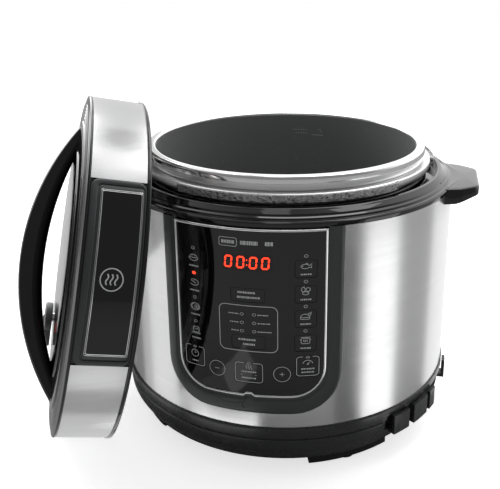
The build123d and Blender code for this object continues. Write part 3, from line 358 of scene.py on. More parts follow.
def math_node(tree, operation, first, second):
    """Result of one operation on two values or sockets."""
    return add_node(tree, "ShaderNodeMath", {0: first, 1: second}, operation=operation).outputs[0]


def noise_node(tree, vector, scale, detail):
    """Noise value of this scale and detail."""
    inputs = {"Vector": vector, "Scale": scale, "Detail": detail}
    return add_node(tree, "ShaderNodeTexNoise", inputs).outputs["Fac"]


def mix_node(tree, factor, first, second):
    """Colour between two colours or sockets, by a factor."""
    inputs = {"Factor": factor, 6: first, 7: second}
    return add_node(tree, "ShaderNodeMix", inputs, data_type="RGBA").outputs[2]


def grain_group():
    """Fine noise with its own stretch: a value for tone, and a normal from its height."""
    sockets = [("Vector", "NodeSocketVector"), ("Scale", "NodeSocketFloat"), ("Height", "NodeSocketFloat")]
    outs = [("Value", "NodeSocketFloat"), ("Normal", "NodeSocketVector")]
    group, start, end = new_group("Fine grain", sockets, outs)
    vector, scale, height = start.outputs[:3]
    value = noise_node(group, vector, scale, 3.0)
    bump = add_node(group, "ShaderNodeBump", {"Height": value, "Distance": height, "Strength": 1.0})
    group.links.new(value, end.inputs["Value"])
    group.links.new(bump.outputs["Normal"], end.inputs["Normal"])


def smudge_group():
    """Handling marks: broad noise times finer noise, cut off below a threshold, as a mask."""
    sockets = [("Vector", "NodeSocketVector"), ("Scale", "NodeSocketFloat"), ("Amount", "NodeSocketFloat")]
    group, start, end = new_group("Smudges", sockets, [("Mask", "NodeSocketFloat")])
    vector, scale, amount = start.outputs[:3]
    broad = noise_node(group, vector, scale, 2.0)
    finer = noise_node(group, vector, math_node(group, "MULTIPLY", scale, 7.0), 4.0)
    product = math_node(group, "MULTIPLY", broad, finer)
    cut = add_node(group, "ShaderNodeMapRange", {"Value": product, "From Min": 0.18, "From Max": 0.42})
    group.links.new(math_node(group, "MULTIPLY", cut.outputs[0], amount), end.inputs["Mask"])


def use_group(tree, name, inputs):
    """The shared group of this name as a node in a material."""
    return add_node(tree, "ShaderNodeGroup", inputs, node_tree=bpy.data.node_groups[name])


def object_vector(tree, turn=(0, 0, 0), stretch=(1, 1, 1)):
    """Object coordinates turned to a piece's axis and squeezed along its brushing."""
    coords = add_node(tree, "ShaderNodeTexCoord")
    mapping = add_node(
        tree, "ShaderNodeMapping", {"Vector": coords.outputs["Object"], "Rotation": turn, "Scale": stretch}
    )
    return mapping.outputs["Vector"]


def new_finish(name, colour, tone, rough, grain, stretch=(1, 1, 1), turn=(0, 0, 0), smudge=18.0, **fixed):
    """Material whose colour wanders by tone, whose roughness rises in smudges and whose grain is raised.

    rough is its clean and smudged roughness; grain is the noise scale and the height in millimetres.
    """
    material = bpy.data.materials.new(name)
    material.use_nodes = True
    tree = material.node_tree
    shader = tree.nodes["Principled BSDF"]
    vector = object_vector(tree, turn, stretch)
    plain = object_vector(tree)
    fine = use_group(tree, "Fine grain", {"Vector": vector, "Scale": grain[0], "Height": grain[1] * MM})
    marks = use_group(tree, "Smudges", {"Vector": plain, "Scale": smudge, "Amount": 1.0})
    dark = tuple(c * (1 - tone) for c in colour) + (1.0,)
    light = tuple(min(1.0, c * (1 + tone)) for c in colour) + (1.0,)
    shade = mix_node(tree, fine.outputs["Value"], dark, light)
    limits = {"Value": marks.outputs["Mask"], "To Min": rough[0], "To Max": rough[1]}
    spread = add_node(tree, "ShaderNodeMapRange", limits)
    tree.links.new(shade, shader.inputs["Base Color"])
    tree.links.new(spread.outputs[0], shader.inputs["Roughness"])
    tree.links.new(fine.outputs["Normal"], shader.inputs["Normal"])
    for socket, value in fixed.items():
        shader.inputs[socket.replace("_", " ")].default_value = value
    return material


def speckled(material, density, share, colour):
    """Light flecks over a finish: cells whose own random value is in the share get the colour."""
    tree = material.node_tree
    target = tree.nodes["Principled BSDF"].inputs["Base Color"]
    base = target.links[0].from_socket
    cells = add_node(tree, "ShaderNodeTexVoronoi", {"Vector": object_vector(tree), "Scale": density})
    pick = math_node(tree, "GREATER_THAN", cells.outputs["Color"], 1 - share)
    dot = math_node(tree, "LESS_THAN", cells.outputs["Distance"], 0.34)
    both = math_node(tree, "MULTIPLY", pick, dot)
    tree.links.new(mix_node(tree, both, base, (*colour, 1.0)), target)


def axis_turn(seat):
    """Mapping rotation that lays the seat's axis along Z, so brushing rings run round the piece."""
    return tuple(Vector(seat.axis).rotation_difference(Vector((0, 0, 1))).to_euler())


class COOKER_OT_finishes(bpy.types.Operator):
    """Make every finish, and give each visible CAD node the finish of its material slot"""

    bl_idname = "cooker.finishes"
    bl_label = "Finishes"

    def execute(self, context):
        colours = context.scene.cooker_colours
        steel = tuple(colours.steel)
        black = tuple(colours.black)
        grey = tuple(colours.grey)
        light = tuple(colours.light)
        coating = tuple(colours.coating)
        metal = {"Metallic": 1.0}
        clear = {"Transmission_Weight": 0.85, "IOR": 1.49}
        grain_group()
        smudge_group()
        for name, turn in (("brushed steel", (0, 0, 0)), ("brushed lid steel", axis_turn(LID))):
            new_finish(name, steel, 0.05, (0.24, 0.27), (1.0, 0.04), (6, 6, 260), turn, 9.0, **metal)
        for *look, fixed in (
            ("bright steel", (0.8, 0.8, 0.8), 0.03, (0.09, 0.18), (400, 0.004), metal),
            ("stippled steel", (0.36, 0.36, 0.36), 0.95, (0.22, 0.32), (380, 1.6), metal),
            ("satin steel", (0.86, 0.86, 0.86), 0.03, (0.3, 0.38), (400, 0.004), metal),
            ("cast aluminium", (0.56, 0.57, 0.58), 0.12, (0.35, 0.5), (500, 0.05), metal),
            ("zinc steel", (0.5, 0.51, 0.5), 0.2, (0.3, 0.5), (160, 0.01), metal),
            ("bright frame", (0.86, 0.86, 0.87), 0.03, (0.07, 0.16), (300, 0.002), metal),
            ("gloss black", black, 0.25, (0.05, 0.11), (260, 0.003), {"Coat_Weight": 0.2}),
            ("satin grey", grey, 0.12, (0.3, 0.42), (1500, 0.02), {}),
            ("base plastic", (0.028, 0.029, 0.03), 0.12, (0.24, 0.36), (1300, 0.02), {}),
            ("foot rubber", (0.014, 0.014, 0.014), 0.2, (0.55, 0.75), (900, 0.06), {}),
            ("pot coating", coating, 0.12, (0.3, 0.42), (800, 0.02), {}),
            ("board green", (0.012, 0.09, 0.03), 0.2, (0.3, 0.45), (200, 0.01), {}),
            ("board parts", (0.05, 0.05, 0.055), 0.3, (0.35, 0.6), (120, 0.02), {}),
            ("inlet plastic", (0.02, 0.02, 0.021), 0.15, (0.35, 0.5), (1200, 0.03), {}),
            ("silicone", (0.62, 0.62, 0.6), 0.06, (0.42, 0.6), (500, 0.02), {"Subsurface_Weight": 0.15}),
            ("valve grey", (0.36, 0.365, 0.37), 0.06, (0.3, 0.42), (1000, 0.02), {}),
            ("float red", (0.6, 0.02, 0.015), 0.1, (0.35, 0.5), (900, 0.02), {}),
            ("ink", (0.72, 0.73, 0.74), 0.06, (0.4, 0.55), (900, 0.004), {}),
            ("faint ink", (0.05, 0.052, 0.055), 0.2, (0.2, 0.3), (900, 0.002), {}),
            ("display glass", (0.012, 0.004, 0.004), 0.2, (0.05, 0.1), (300, 0.001), {}),
            ("lamp clear", (0.05, 0.05, 0.052), 0.1, (0.15, 0.25), (300, 0.002), {}),
            ("cup clear", (0.8, 0.82, 0.84), 0.03, (0.12, 0.3), (200, 0.01), clear),
            ("lit red", light, 0.08, (0.3, 0.4), (600, 0.001), {"Emission_Strength": 2.6})
        ):
            new_finish(*look, **fixed)
        speckled(bpy.data.materials["pot coating"], 700, 0.12, (0.34, 0.34, 0.34))
        tree = bpy.data.materials["lit red"].node_tree
        shader = tree.nodes["Principled BSDF"]
        tree.links.new(shader.inputs["Base Color"].links[0].from_socket, shader.inputs["Emission Color"])
        by_node = {"lid_band": "brushed lid steel", "base_pan": "base plastic"}
        by_node["bottom_plate"] = "base plastic"
        by_slot = {"display_red": "display glass"}
        for name, node in frame["nodes"].items():
            slot = node.data.materials[0].name.split(".")[0]
            finish = by_node.get(name) or by_slot.get(slot, slot.replace("_", " "))
            node.data.materials[0] = bpy.data.materials[finish]
        return {"FINISHED"}


# Pot and housing
class COOKER_OT_pot(bpy.types.Operator):
    """Pot with a rolled rim, its non-stick lining and its level marks"""

    bl_idname = "cooker.pot"
    bl_label = "Pot"

    def execute(self, context):
        size = context.scene.cooker_sizes
        low, top = COOKER.span("inner_pot")
        rim = COOKER.reach("inner_pot")
        mouth = rim - RIM_WIDTH
        outside = mouth + POT_WALL
        floor = low + 2.0
        lining = 0.15
        shell = rounded(
            [
                (0, low), (outside, low), (outside, top - 1.8), (rim - 1.6, top - 1.8),
                (rim - 1.6, top - 6), (rim, top - 6), (rim, top), (mouth + lining, top),
                (mouth + lining, floor - lining), (0, floor - lining)
            ], [0, 14, 1.5, 1.0, 0, 0.5, size.rim_round, 2.0, 12.5, 0], 8
        )
        make_piece(
            "pot_shell", [turned(COOKER, shell, steps=size.turn_steps)], "bright steel", "inner_pot",
            ("inner_pot",)
        )
        rings = []
        for radius in (92, 74, 56, 38):
            rings += [(radius, floor), (radius - 1.5, floor + 0.35), (radius - 3.0, floor)]
        inner = rounded([(mouth, top - 2.4), (mouth, floor), *rings, (0, floor)], [0, 12.5, *[1] * 12, 0], 6)
        outer = rounded(
            [(0, floor - lining), (mouth + lining, floor - lining), (mouth + lining, top - 2.4)], 12.5, 6
        )
        make_piece(
            "pot_lining", [turned(COOKER, np.concatenate([inner, outer]), steps=size.turn_steps)],
            "pot coating", "inner_pot"
        )
        self.level_marks(mouth, size)
        return {"FINISHED"}

    def level_marks(self, mouth, size):
        """Slanted tick and rows of dashes; each point gives its angle round the wall in degrees and its
        height.
        """
        lines = [[(172.0, 219.0), (173.4, 222.4)], [(171.4, 216.0), (177.4, 216.0)]]
        for row, height in enumerate((221.0, 217.6)):
            lines += [[(180.0 + k * 1.3, height), (180.7 + k * 1.3, height)] for k in range(6 - row)]
        grids = []
        for line in lines:
            (a, b), (c, d) = line
            angle = np.radians(np.array([a, a, c, c]))[:, None]
            rise = np.array([b, b, d, d])[:, None]
            half = size.ink_width / 2
            wide = np.array([-half, -half, half, half])
            depth = np.array([0.02, -0.12, -0.12, 0.02])
            points = COOKER.turn(mouth + depth, angle[1:3], rise[1:3] + wide)
            grids.append(capped(points))
        make_piece("pot_level_marks", grids, "ink", "inner_pot")


class COOKER_OT_housing(bpy.types.Operator):
    """Neck and flange of the pressure housing, with stippled bayonet lugs"""

    bl_idname = "cooker.housing"
    bl_label = "Pressure housing"

    def execute(self, context):
        size = context.scene.cooker_sizes
        low, top = COOKER.span("pressure_housing")
        reach = COOKER.reach("pressure_housing")
        pot_outside = COOKER.reach("inner_pot") - RIM_WIDTH + POT_WALL
        inner = pot_outside + 2.0
        outer = inner + 1.5
        flange = reach - 3.5
        under = top - 16.0
        over = under + 6.0
        sensor_hole = 20.0
        profile = rounded(
            [
                (sensor_hole, low), (outer, low), (outer, under), (flange, under), (flange, over - 0.6),
                (flange - 1.4, over), (outer, over), (outer, top), (inner, top), (inner, low + 1.5),
                (sensor_hole, low + 1.5)
            ], [0, 3, 0.6, 0.8, 0.4, 0.6, 1.8, 0.6, 0.6, 2, 0], 6
        )
        make_piece(
            "housing_neck", [turned(COOKER, profile, steps=size.turn_steps)], "satin steel", "body",
            ("pressure_housing",)
        )
        section = rounded(
            [(0, 3), (0, 0), (1, 0), (1, 6), (0.72, 6), (0.72, 5), (0.15, 5), (0, 5), (0, 3)],
            [0, 0, 0.3, 0.2, 0.1, 0.1, 0, 0, 0], 3
        )[:-1]
        pitch = 360.0 / size.lug_count
        for lug in range(size.lug_count):
            self.lug(lug, size.lug_start + lug * pitch, size.lug_arc, flange - 0.6, reach, under, section)
        return {"FINISHED"}

    def lug(self, number, start, arc, inner, reach, under, section):
        """Lug whose outer edge swells from the flange by a quarter circle over 1.6 degrees at each end."""
        angle = np.linspace(0, arc, 170)
        near_end = np.clip(np.minimum(angle, arc - angle) / 1.6, 0, 1)
        swell = 0.05 + 0.95 * np.sqrt(1 - (1 - near_end) ** 2)
        radius = inner + (reach - inner) * section[:, 0] * swell[:, None]
        points = COOKER.turn(radius, np.radians(start + angle)[:, None], under + section[:, 1])
        make_piece(f"housing_lug_{number}", [capped(points)], "stippled steel", "body")


# Top ring and handles
class COOKER_OT_top_ring(bpy.types.Operator):
    """Stepped gloss ring round the mouth, with a handle on each side"""

    bl_idname = "cooker.top_ring"
    bl_label = "Top ring and handles"

    def execute(self, context):
        size = context.scene.cooker_sizes
        crest = COOKER.span("top_ring")[1]
        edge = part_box("top_ring")[1].y / MM
        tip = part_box("top_ring")[1].x / MM
        shell_top = COOKER.span("outer_shell")[1]
        bore = 119
        moat_in = 121
        moat_out = 130.8
        moat_floor = 210
        lip = 215
        profile = rounded(
            [
                (bore, shell_top - 0.5), (edge - 0.3, shell_top - 0.5), (edge, shell_top + 2.8),
                (edge - 1.6, shell_top + 3.9), (edge - 3.6, shell_top + 4.1), (edge - 4.2, shell_top + 5.6),
                (edge - 6.4, shell_top + 6.2), (edge - 6.9, shell_top + 7.6), (edge - 9.6, shell_top + 9.4),
                (134, crest), (moat_out, crest), (moat_out, moat_floor), (moat_in, moat_floor),
                (moat_in, lip), (bore, lip), (bore, shell_top - 0.5)
            ], [0, 0.5, 0.7, 0.6, 0.3, 0.5, 0.3, 0.4, 1.2, 1.6, 0.8, 1, 1, 0.4, 0.4, 0], 5
        )[:-1]
        make_piece(
            "ring_moulding", [turned(COOKER, profile, steps=size.turn_steps)], "gloss black", "body",
            ("top_ring",)
        )
        for side, name in ((-1, "left"), (1, "right")):
            self.wing(side, name, tip, size)
        return {"FINISHED"}

    def wing(self, side, name, tip, size):
        """Handle: loops of its plan outline go up its side, over a soft edge and in to its middle.

        The underside rises evenly from the root to the tip, and the top is crowned by a cosine.
        """
        root_half = 43.0
        tip_half = 27.0
        root_reach = 142.0
        root_angle = math.asin(root_half / root_reach)
        bend = np.linspace(root_angle, -root_angle, 24)
        root = np.column_stack([root_reach * np.cos(bend), root_reach * np.sin(bend)])
        outer = rounded(
            [
                root[-1], (tip - 14, -root_half + 5), (tip, -tip_half), (tip, tip_half),
                (tip - 14, root_half - 5), root[0]
            ], [0, 10, 10, 10, 10, 0], 8
        )
        loop = np.concatenate([divided(outer, parts(outer, 3.0))[:-1], root[:-1]])
        middle = np.array([(root_reach + tip) / 2, 0.0])
        top = 212.0
        soft = size.edge_round + 0.6
        rows = []
        for inward, share, level in (
            (0.0, 0.0, 0), (0.0, 0.45, 0), (0.0, 0.8, 0), (0.0, 1.0, 0), (0.0, 1.0, 0.0), (0.0, 1.0, 0.4),
            (0.25, 1.0, 0.75), (0.7, 1.0, 0.95), (1.0, 1.0, 1.0)
        ):
            flat = middle + (inset(loop, inward * soft) - middle) * share
            under = top - 12.5 + 5.5 * np.clip((flat[:, 0] - 147) / (tip - 147), 0, 1)
            height = top - soft * (1 - level) if level else under
            rows.append(COOKER.point(side * flat[:, 0], flat[:, 1], height))
        face = inset(loop, soft)
        for share in (0.9, 0.75, 0.55, 0.3, 0.0):
            flat = middle + (face - middle) * share
            crown = 0.5 * math.cos(share * math.pi / 2)
            rows.append(COOKER.point(side * flat[:, 0], flat[:, 1], top + crown))
        make_piece(f"handle_{name}", [(np.stack(rows), False, True)], "gloss black", "body")


# Base
class COOKER_OT_base(bpy.types.Operator):
    """Two tiers of the base's outside, parted by a groove, from one end of the cord channel to the other"""

    bl_idname = "cooker.base"
    bl_label = "Base moulding"

    def execute(self, context):
        size = context.scene.cooker_sizes
        low = COOKER.span("base_pan")[0]
        shell_low = COOKER.span("outer_shell")[0]
        wall = COOKER.reach("outer_shell") + 1.4
        foot = wall - 16.0
        band_low = shell_low - 9.2
        profile = rounded(
            [
                (wall - 4, shell_low - 0.2), (wall, shell_low - 0.2), (wall + 0.1, shell_low - 1.6),
                (wall - 0.1, band_low), (wall - 1.2, band_low - 0.2), (wall - 1.3, band_low - 1.1),
                (wall - 0.2, band_low - 1.6), (wall - 1.0, band_low - 12.0), (wall - 8.3, low + 3.0),
                (foot, low - 0.1), (foot - 4, low + 1.5), (wall - 4, shell_low - 0.2)
            ], [0, 0.5, 0.5, 0.8, 0.2, 0.2, 0.9, 14.0, 7.0, 1.0, 0, 0], 6
        )[:-1]
        steps = int(size.turn_steps * 236 / 360)
        make_piece(
            "base_moulding", [turned(COOKER, profile, -193.0, 43.0, steps)], "base plastic", "body",
        )
        return {"FINISHED"}


# Control panel
def panel_outline(half, low, top, corner, arch):
    """Open outline from the upper left down, round the bottom with its small arch, and up again."""
    foot = 3.1 + arch * 0.6
    shoulder = 1.9 + arch * 0.2
    bends = [0.5, 1.1, 1.1, 0.5] if arch else [0, 0, 0, 0]
    return rounded(
        [
            (-half, top), (-half, low), (-foot, low), (-shoulder, low + arch), (shoulder, low + arch),
            (foot, low), (half, low), (half, top)
        ], [0, corner, *bends, corner, 0], 8
    )


class COOKER_OT_panel(bpy.types.Operator):
    """Bezel and bright frame of the control panel"""

    bl_idname = "cooker.panel"
    bl_label = "Panel bezel and frame"

    def execute(self, context):
        corner = 25.0
        arch = 1.9
        bezel_half = COOKER.local("panel_bezel")[:, 0].max()
        bezel_low, bezel_top = COOKER.span("panel_bezel")
        frame_half = COOKER.local("panel_frame")[:, 0].max()
        frame_low, frame_top = COOKER.span("panel_frame")
        outer = panel_outline(bezel_half, bezel_low, bezel_top, corner + 9.0, 0.0)
        counts = parts(outer, 2.4)
        outer = divided(outer, counts)
        inner = divided(panel_outline(frame_half + 0.05, frame_low - 0.05, bezel_top, corner, arch), counts)
        face = 146.0
        rim = face - 1.1
        section = [
            (0.0, face - 4.5), (0.0, 144.4), (0.012, 144.95), (0.05, 145.55), (0.12, 145.9), (0.22, face),
            (0.62, face), (0.74, 145.9), (0.8, 145.5), (0.84, 145.1), (0.9, rim), (1.0, rim),
            (1.0, face - 4.5)
        ]
        make_piece(
            "panel_surround", [band(COOKER, outer, inner, section, False)], "satin grey", "body",
            ("panel_bezel",)
        )
        foot = frame_low - 0.6
        seam = rounded(
            [
                (-3.0, foot), (-2.6, foot - 3.2), (-5.0, foot - 5.0), (-8.5, foot - 6.2),
                (-20.0, foot - 6.6), (-33.0, foot - 2.0)
            ], [0, 1.2, 2, 3, 6, 0], 4
        )
        tail = rounded([(-5.0, foot - 5.0), (-5.6, foot - 8.4), (-3.6, foot - 10.6)], 1.2, 4)
        make_piece(
            "bezel_seam",
            [stroke(COOKER, divided(line, parts(line, 1.5)), 0.35, 145.9, 146.04) for line in (seam, tail)],
            "gloss black", "body"
        )
        face = COOKER.reach("panel_frame")
        width = 2.0
        edge_out = panel_outline(frame_half, frame_low, frame_top, corner, arch)
        edge_in = panel_outline(frame_half - width, frame_low + width, frame_top, corner - width, arch)
        counts = parts(edge_out, 2.4)
        across = np.linspace(0, 1, 9)
        bead = [(0.0, face - 3.5), *[(s, face - 1.0 + math.sin(math.pi * s) ** 0.6) for s in across]]
        bead.append((1.0, face - 3.5))
        top_half = frame_half - 0.2
        top_bar = [(-top_half, frame_top - width / 2), (top_half, frame_top - width / 2)]
        bar = divided(np.array(top_bar), [60])
        bar_out = bar + (0, width / 2)
        bar_in = bar - (0, width / 2)
        make_piece(
            "panel_bright_line",
            [
                band(COOKER, divided(edge_out, counts), divided(edge_in, counts), bead, False),
                band(COOKER, bar_out, bar_in, bead, False)
            ], "bright frame", "body", ("panel_frame",)
        )
        return {"FINISHED"}


def wave(x, z, height, swing=0.5):
    """Rising line that swings sideways by a sine of its height."""
    rise = np.linspace(0, 1, 14)
    return np.column_stack([x + swing * np.sin(rise * 2 * math.pi), z + height * (rise - 0.5)])


def words(x, z, width, height=0.95, seed=0):
    """Short unreadable dashes in a row, in place of a word: their lengths wander with a sine."""
    count = max(2, int(width / 1.25))
    lengths = 0.75 + 0.3 * np.sin(np.arange(count) * 2.1 + seed)
    lengths *= (width - 0.35 * (count - 1)) / lengths.sum()
    starts = x - width / 2 + np.concatenate([[0], np.cumsum(lengths + 0.35)[:-1]])
    return [block(s + l / 2, z, l, height, 0.2, 1) for s, l in zip(starts, lengths)]


def printed(x, z, width, height, seed, face, size):
    """A word's dashes as thin plates on the wall of this radius."""
    loops = words(x, z, width, height, seed)
    return [plate(COOKER, loop, face - PRINT_SINK, face + size.ink_height, PRINT_SINK, 2) for loop in loops]


def icon_lines(name):
    """Lines of each picture, drawn about its own middle in millimetres; True marks a closed line."""
    icons = {
        "rice": [
            (oval(0, 0.4, 7.6, 5.6, 18, 190, 350), False), ([(-3.9, 0.2), (0, -0.1), (3.9, 0.2)], False),
            (oval(0, 0.3, 6.0, 4.4, 18, 12, 168), False), ([(-1.4, 1.3), (-0.7, 1.5)], False),
            ([(0.6, 1.2), (1.3, 1.4)], False)
        ],
        "beans": [
            (oval(-0.2, 0.0, 7.2, 4.8, 26, -150, 95), False),
            (oval(-1.1, 1.4, 2.6, 2.0, 14, 60, 300), False), (oval(0.6, 0.4, 2.2, 1.6, 12, 120, 300), False)
        ],
        "meat": [
            (oval(0, 0, 7.6, 5.6), True), (oval(1.2, -0.2, 3.4, 3.2, 20), True),
            (oval(1.2, -0.2, 0.9, 0.9, 10), True), (oval(-1.4, 0.2, 3.2, 3.4, 16, 80, 250), False)
        ],
        "pudding": [
            (block(0, 0.6, 4.8, 4.6, 1.2, 3), True), ([(-3.6, -2.6), (3.6, -2.6)], False),
            ([(-2.6, -1.7), (-3.1, -2.5)], False), ([(2.6, -1.7), (3.1, -2.5)], False),
            (oval(0, 1.6, 2.4, 1.6, 12, 180, 360), False)
        ],
        "fish": [
            (oval(-0.6, -0.4, 6.0, 3.4, 26, 20, 340), False),
            ([(2.2, 0.2), (4.0, 1.8), (3.6, -0.2), (4.0, -1.6), (2.2, -1.0)], False),
            (oval(-2.4, -0.1, 0.5, 0.5, 8), True), ([(-0.8, 1.2), (0.4, 2.2), (1.4, 1.2)], False)
        ],
        "vegetables": [
            (oval(-1.8, 1.4, 2.6, 3.6, 18), True), (oval(1.5, 1.3, 3.0, 3.0, 18), True),
            (oval(-0.2, -1.6, 4.4, 2.4, 20), True), ([(-1.8, 3.0), (-1.2, 3.9)], False)
        ],
        "chicken": [
            (oval(-0.4, -1.2, 6.4, 5.4, 20, 5, 175), False), (block(-0.4, -1.9, 6.6, 1.4, 0.6, 3), True),
            (oval(2.6, 1.2, 2.0, 2.0, 14), True), ([(3.3, 1.9), (4.0, 2.9)], False)
        ],
        "saute": [
            (block(0, -0.6, 6.2, 4.4, 1.1, 3), True), ([(-4.0, 0.6), (-3.2, 0.6)], False),
            ([(3.2, 0.6), (4.0, 0.6)], False), ([(-3.4, 2.4), (3.4, 2.4)], False),
            (wave(-1.2, -0.5, 2.0, 0.25), False), (wave(0, -0.5, 2.0, 0.25), False),
            (wave(1.2, -0.5, 2.0, 0.25), False)
        ],
        "timer": [
            (oval(0, 0, 6.0, 6.0, 28), True), ([(0, 0), (0, 1.9)], False), ([(0, 0), (1.3, 1.0)], False)
        ],
        "keep_pressure": [
            (oval(0, -1.2, 7.0, 6.4, 22, 8, 172), False), ([(0, -1.2), (1.5, 0.7)], False),
            (oval(0, -1.2, 0.9, 0.9, 10), True)
        ], "heat_cancel": [(wave(x, 0, 3.4, 0.45), False) for x in (-1.8, 0, 1.8)],
        "minus": [([(-1.7, 0), (1.7, 0)], False)],
        "plus": [([(-1.7, 0), (1.7, 0)], False), ([(0, -1.7), (0, 1.7)], False)], "cooking_times": [],
        "extra_functions": []
    }
    return icons[name]


class COOKER_OT_symbols(bpy.types.Operator):
    """Pictures and outlines printed on the keys, each riding on its own key"""

    bl_idname = "cooker.symbols"
    bl_label = "Key symbols"

    def execute(self, context):
        size = context.scene.cooker_sizes
        for node in sorted(n for n in frame["nodes"] if n.startswith("key_")):
            self.key(node, size)
        return {"FINISHED"}

    def key(self, node, size):
        """Picture above, dashes below; corner keys get an outline open at the top for their lamp."""
        name = node[4:]
        corners = COOKER.local(node)
        face = COOKER.reach(node)
        flange = 0.8
        x, z = (corners[:, 0].min() + corners[:, 0].max()) / 2, sum(COOKER.span(node)) / 2
        width = np.ptp(corners[:, 0]) - 2 * flange
        height = np.ptp(corners[:, 2]) - 2 * flange
        levels = (face - PRINT_SINK, face + size.ink_height)
        ink = (size.ink_width, *levels)
        thin = (size.ink_width * 0.8, *levels)
        grids = []
        lift = {"minus": 0, "plus": 0, "timer": 1.8, "keep_pressure": 3.0, "heat_cancel": 4.6}.get(name, 2.3)
        for line, closed in icon_lines(name):
            grids.append(stroke(COOKER, np.array(line, float) + (x, z + lift), *ink, closed=closed))
        labels = {
            "minus": [], "plus": [], "timer": [(0, -4.6, 5.2)],
            "keep_pressure": [(0, -2.2, 9.5), (0, -5.0, 9.0)],
            "heat_cancel": [(0, 0.6, 11.5), (0, -4.6, 11.0)],
            "cooking_times": [(-1.0, 2.0, 13.0), (0.5, -1.8, 17.0)],
            "extra_functions": [(-1.0, 2.0, 13.0), (0.5, -1.8, 9.0)]
        }.get(name, [(0, -4.2, 7.6)])
        for k, (dx, dz, length) in enumerate(labels):
            tall = 1.6 if name in ("cooking_times", "extra_functions") else 1.15
            grids += printed(x + dx, z + dz, length, tall, len(name) + k, face, size)
        if name == "heat_cancel":
            grids.append(stroke(COOKER, [(x - 6, z - 2.0), (x + 6, z - 2.0)], *thin))
        if name in ("minus", "plus"):
            grids.append(stroke(COOKER, oval(x, z, width - 0.9, width - 0.9, 48), *ink, closed=True))
        if name in ("timer", "keep_pressure", "heat_cancel"):
            loop = block(x, z, width - 0.9, height - 0.9, 2.2)
            gap = np.hypot(loop[:, 0] - x, loop[:, 1] - z - height / 2) > 2.2
            start = int(np.argmin(gap)) + int(np.argmax(np.roll(gap, -int(np.argmin(gap)))))
            loop = np.roll(loop, -start, 0)
            kept = loop[: int(gap.sum())]
            grids.append(stroke(COOKER, kept, *ink))
            ring = oval(x, z + height / 2 - 0.9, 2.4, 1.4, 18)
            grids.append(stroke(COOKER, ring, *thin, closed=True))
        if grids:
            make_piece(f"symbol_{name}", grids, "ink", node)


class COOKER_OT_print(bpy.types.Operator):
    """Print on the fixed overlay: rings round the lamps, the menu frame and the plain heading"""

    bl_idname = "cooker.overlay_print"
    bl_label = "Overlay print"

    def execute(self, context):
        size = context.scene.cooker_sizes
        face = COOKER.reach("panel_overlay")
        levels = (face - PRINT_SINK, face + size.ink_height)
        grids = []
        for x, z in lamp_places():
            grids.append(stroke(COOKER, oval(x, z, 2.5, 2.1, 24), 0.3, *levels, closed=True))
        menu = block(0, 128.6, 43.8, 37.0, 4.5)
        grids.append(stroke(COOKER, menu, 0.55, *levels, closed=True))
        for row in range(3):
            z = 140.2 - 6.8 * row
            for side, length in ((-1, 7.5 - row), (1, 8.0 + 1.2 * row)):
                grids += printed(side * (7.2 + length / 2), z, length, 0.9, row + side, face, size)
        frame_line = block(-14.0, HEADING, 13.2, 6.4, 1.4)
        grids.append(stroke(COOKER, frame_line, size.ink_width, *levels, closed=True))
        for x, length, tall, seed in ((-14.0, 9.6, 2.6, 1), (1.6, 12.6, 3.0, 4), (16.0, 5.6, 3.0, 7)):
            grids += printed(x, HEADING, length, tall, seed, face, size)
        make_piece("overlay_print", grids, "ink", "body")
        return {"FINISHED"}


def lamp_places():
    """Middle of each lamp across and up, from the separate solids of the lamps' node."""
    corners = COOKER.local("indicator_lights")
    places = []
    while len(corners):
        near = np.hypot(corners[:, 0] - corners[0, 0], corners[:, 2] - corners[0, 2]) < 2.2
        group = corners[near][:, (0, 2)]
        places.append(tuple((group.min(0) + group.max(0)) / 2))
        corners = corners[~near]
    return places


class COOKER_OT_display(bpy.types.Operator):
    """Lit digits of the display and the lit programme lamp"""

    bl_idname = "cooker.display"
    bl_label = "Display"

    def execute(self, context):
        face = COOKER.reach("display_window")
        z = sum(COOKER.span("display_window")) / 2
        lit = []
        dim = []
        for x in (-14.0, -4.9, 4.5, 13.4):
            lit += self.digit(x, z, face, "abcdef")
            dim += self.digit(x, z, face, "g")
        for rise in (-1.9, 1.9):
            lit.append(plate(COOKER, oval(-0.2, z + rise, 1.0, 1.0, 14), face - 0.02, face + 0.05, 0.05, 2))
        lamp = min(lamp_places(), key=lambda place: math.dist(place, LIT_LAMP))
        outline = oval(*lamp, 2.9, 2.4, 24)
        lit.append(plate(COOKER, outline, face, COOKER.reach("panel_overlay") + 0.12, 0.1, 3))
        make_piece("display_digits", lit, "lit red", "body")
        make_piece("display_unlit_segments", dim, "faint ink", "body")
        return {"FINISHED"}

    def digit(self, x, z, face, segments):
        """Seven-segment figure: each segment is a six-sided bar along its own line."""
        half = 2.35
        tall = 4.1
        ends = {
            "a": ((-half, tall), (half, tall)), "b": ((half, tall), (half, 0)),
            "c": ((half, 0), (half, -tall)), "d": ((half, -tall), (-half, -tall)),
            "e": ((-half, -tall), (-half, 0)), "f": ((-half, 0), (-half, tall)),
            "g": ((-half, 0), (half, 0))
        }
        bars = []
        for letter in segments:
            start, stop = (np.array(end) for end in ends[letter])
            along = (stop - start) / np.linalg.norm(stop - start)
            side = np.array((-along[1], along[0])) * 0.62
            start = start + along * 0.12
            stop = stop - along * 0.12
            loop = [
                start, start + along * 0.6 - side, stop - along * 0.6 - side, stop,
                stop - along * 0.6 + side, start + along * 0.6 + side
            ]
            loop = np.array(loop) + (x, z)
            loop[:, 0] += 0.08 * (loop[:, 1] - z)
            bars.append(plate(COOKER, loop, face - 0.02, face + 0.05, 0.02, 2))
        return bars


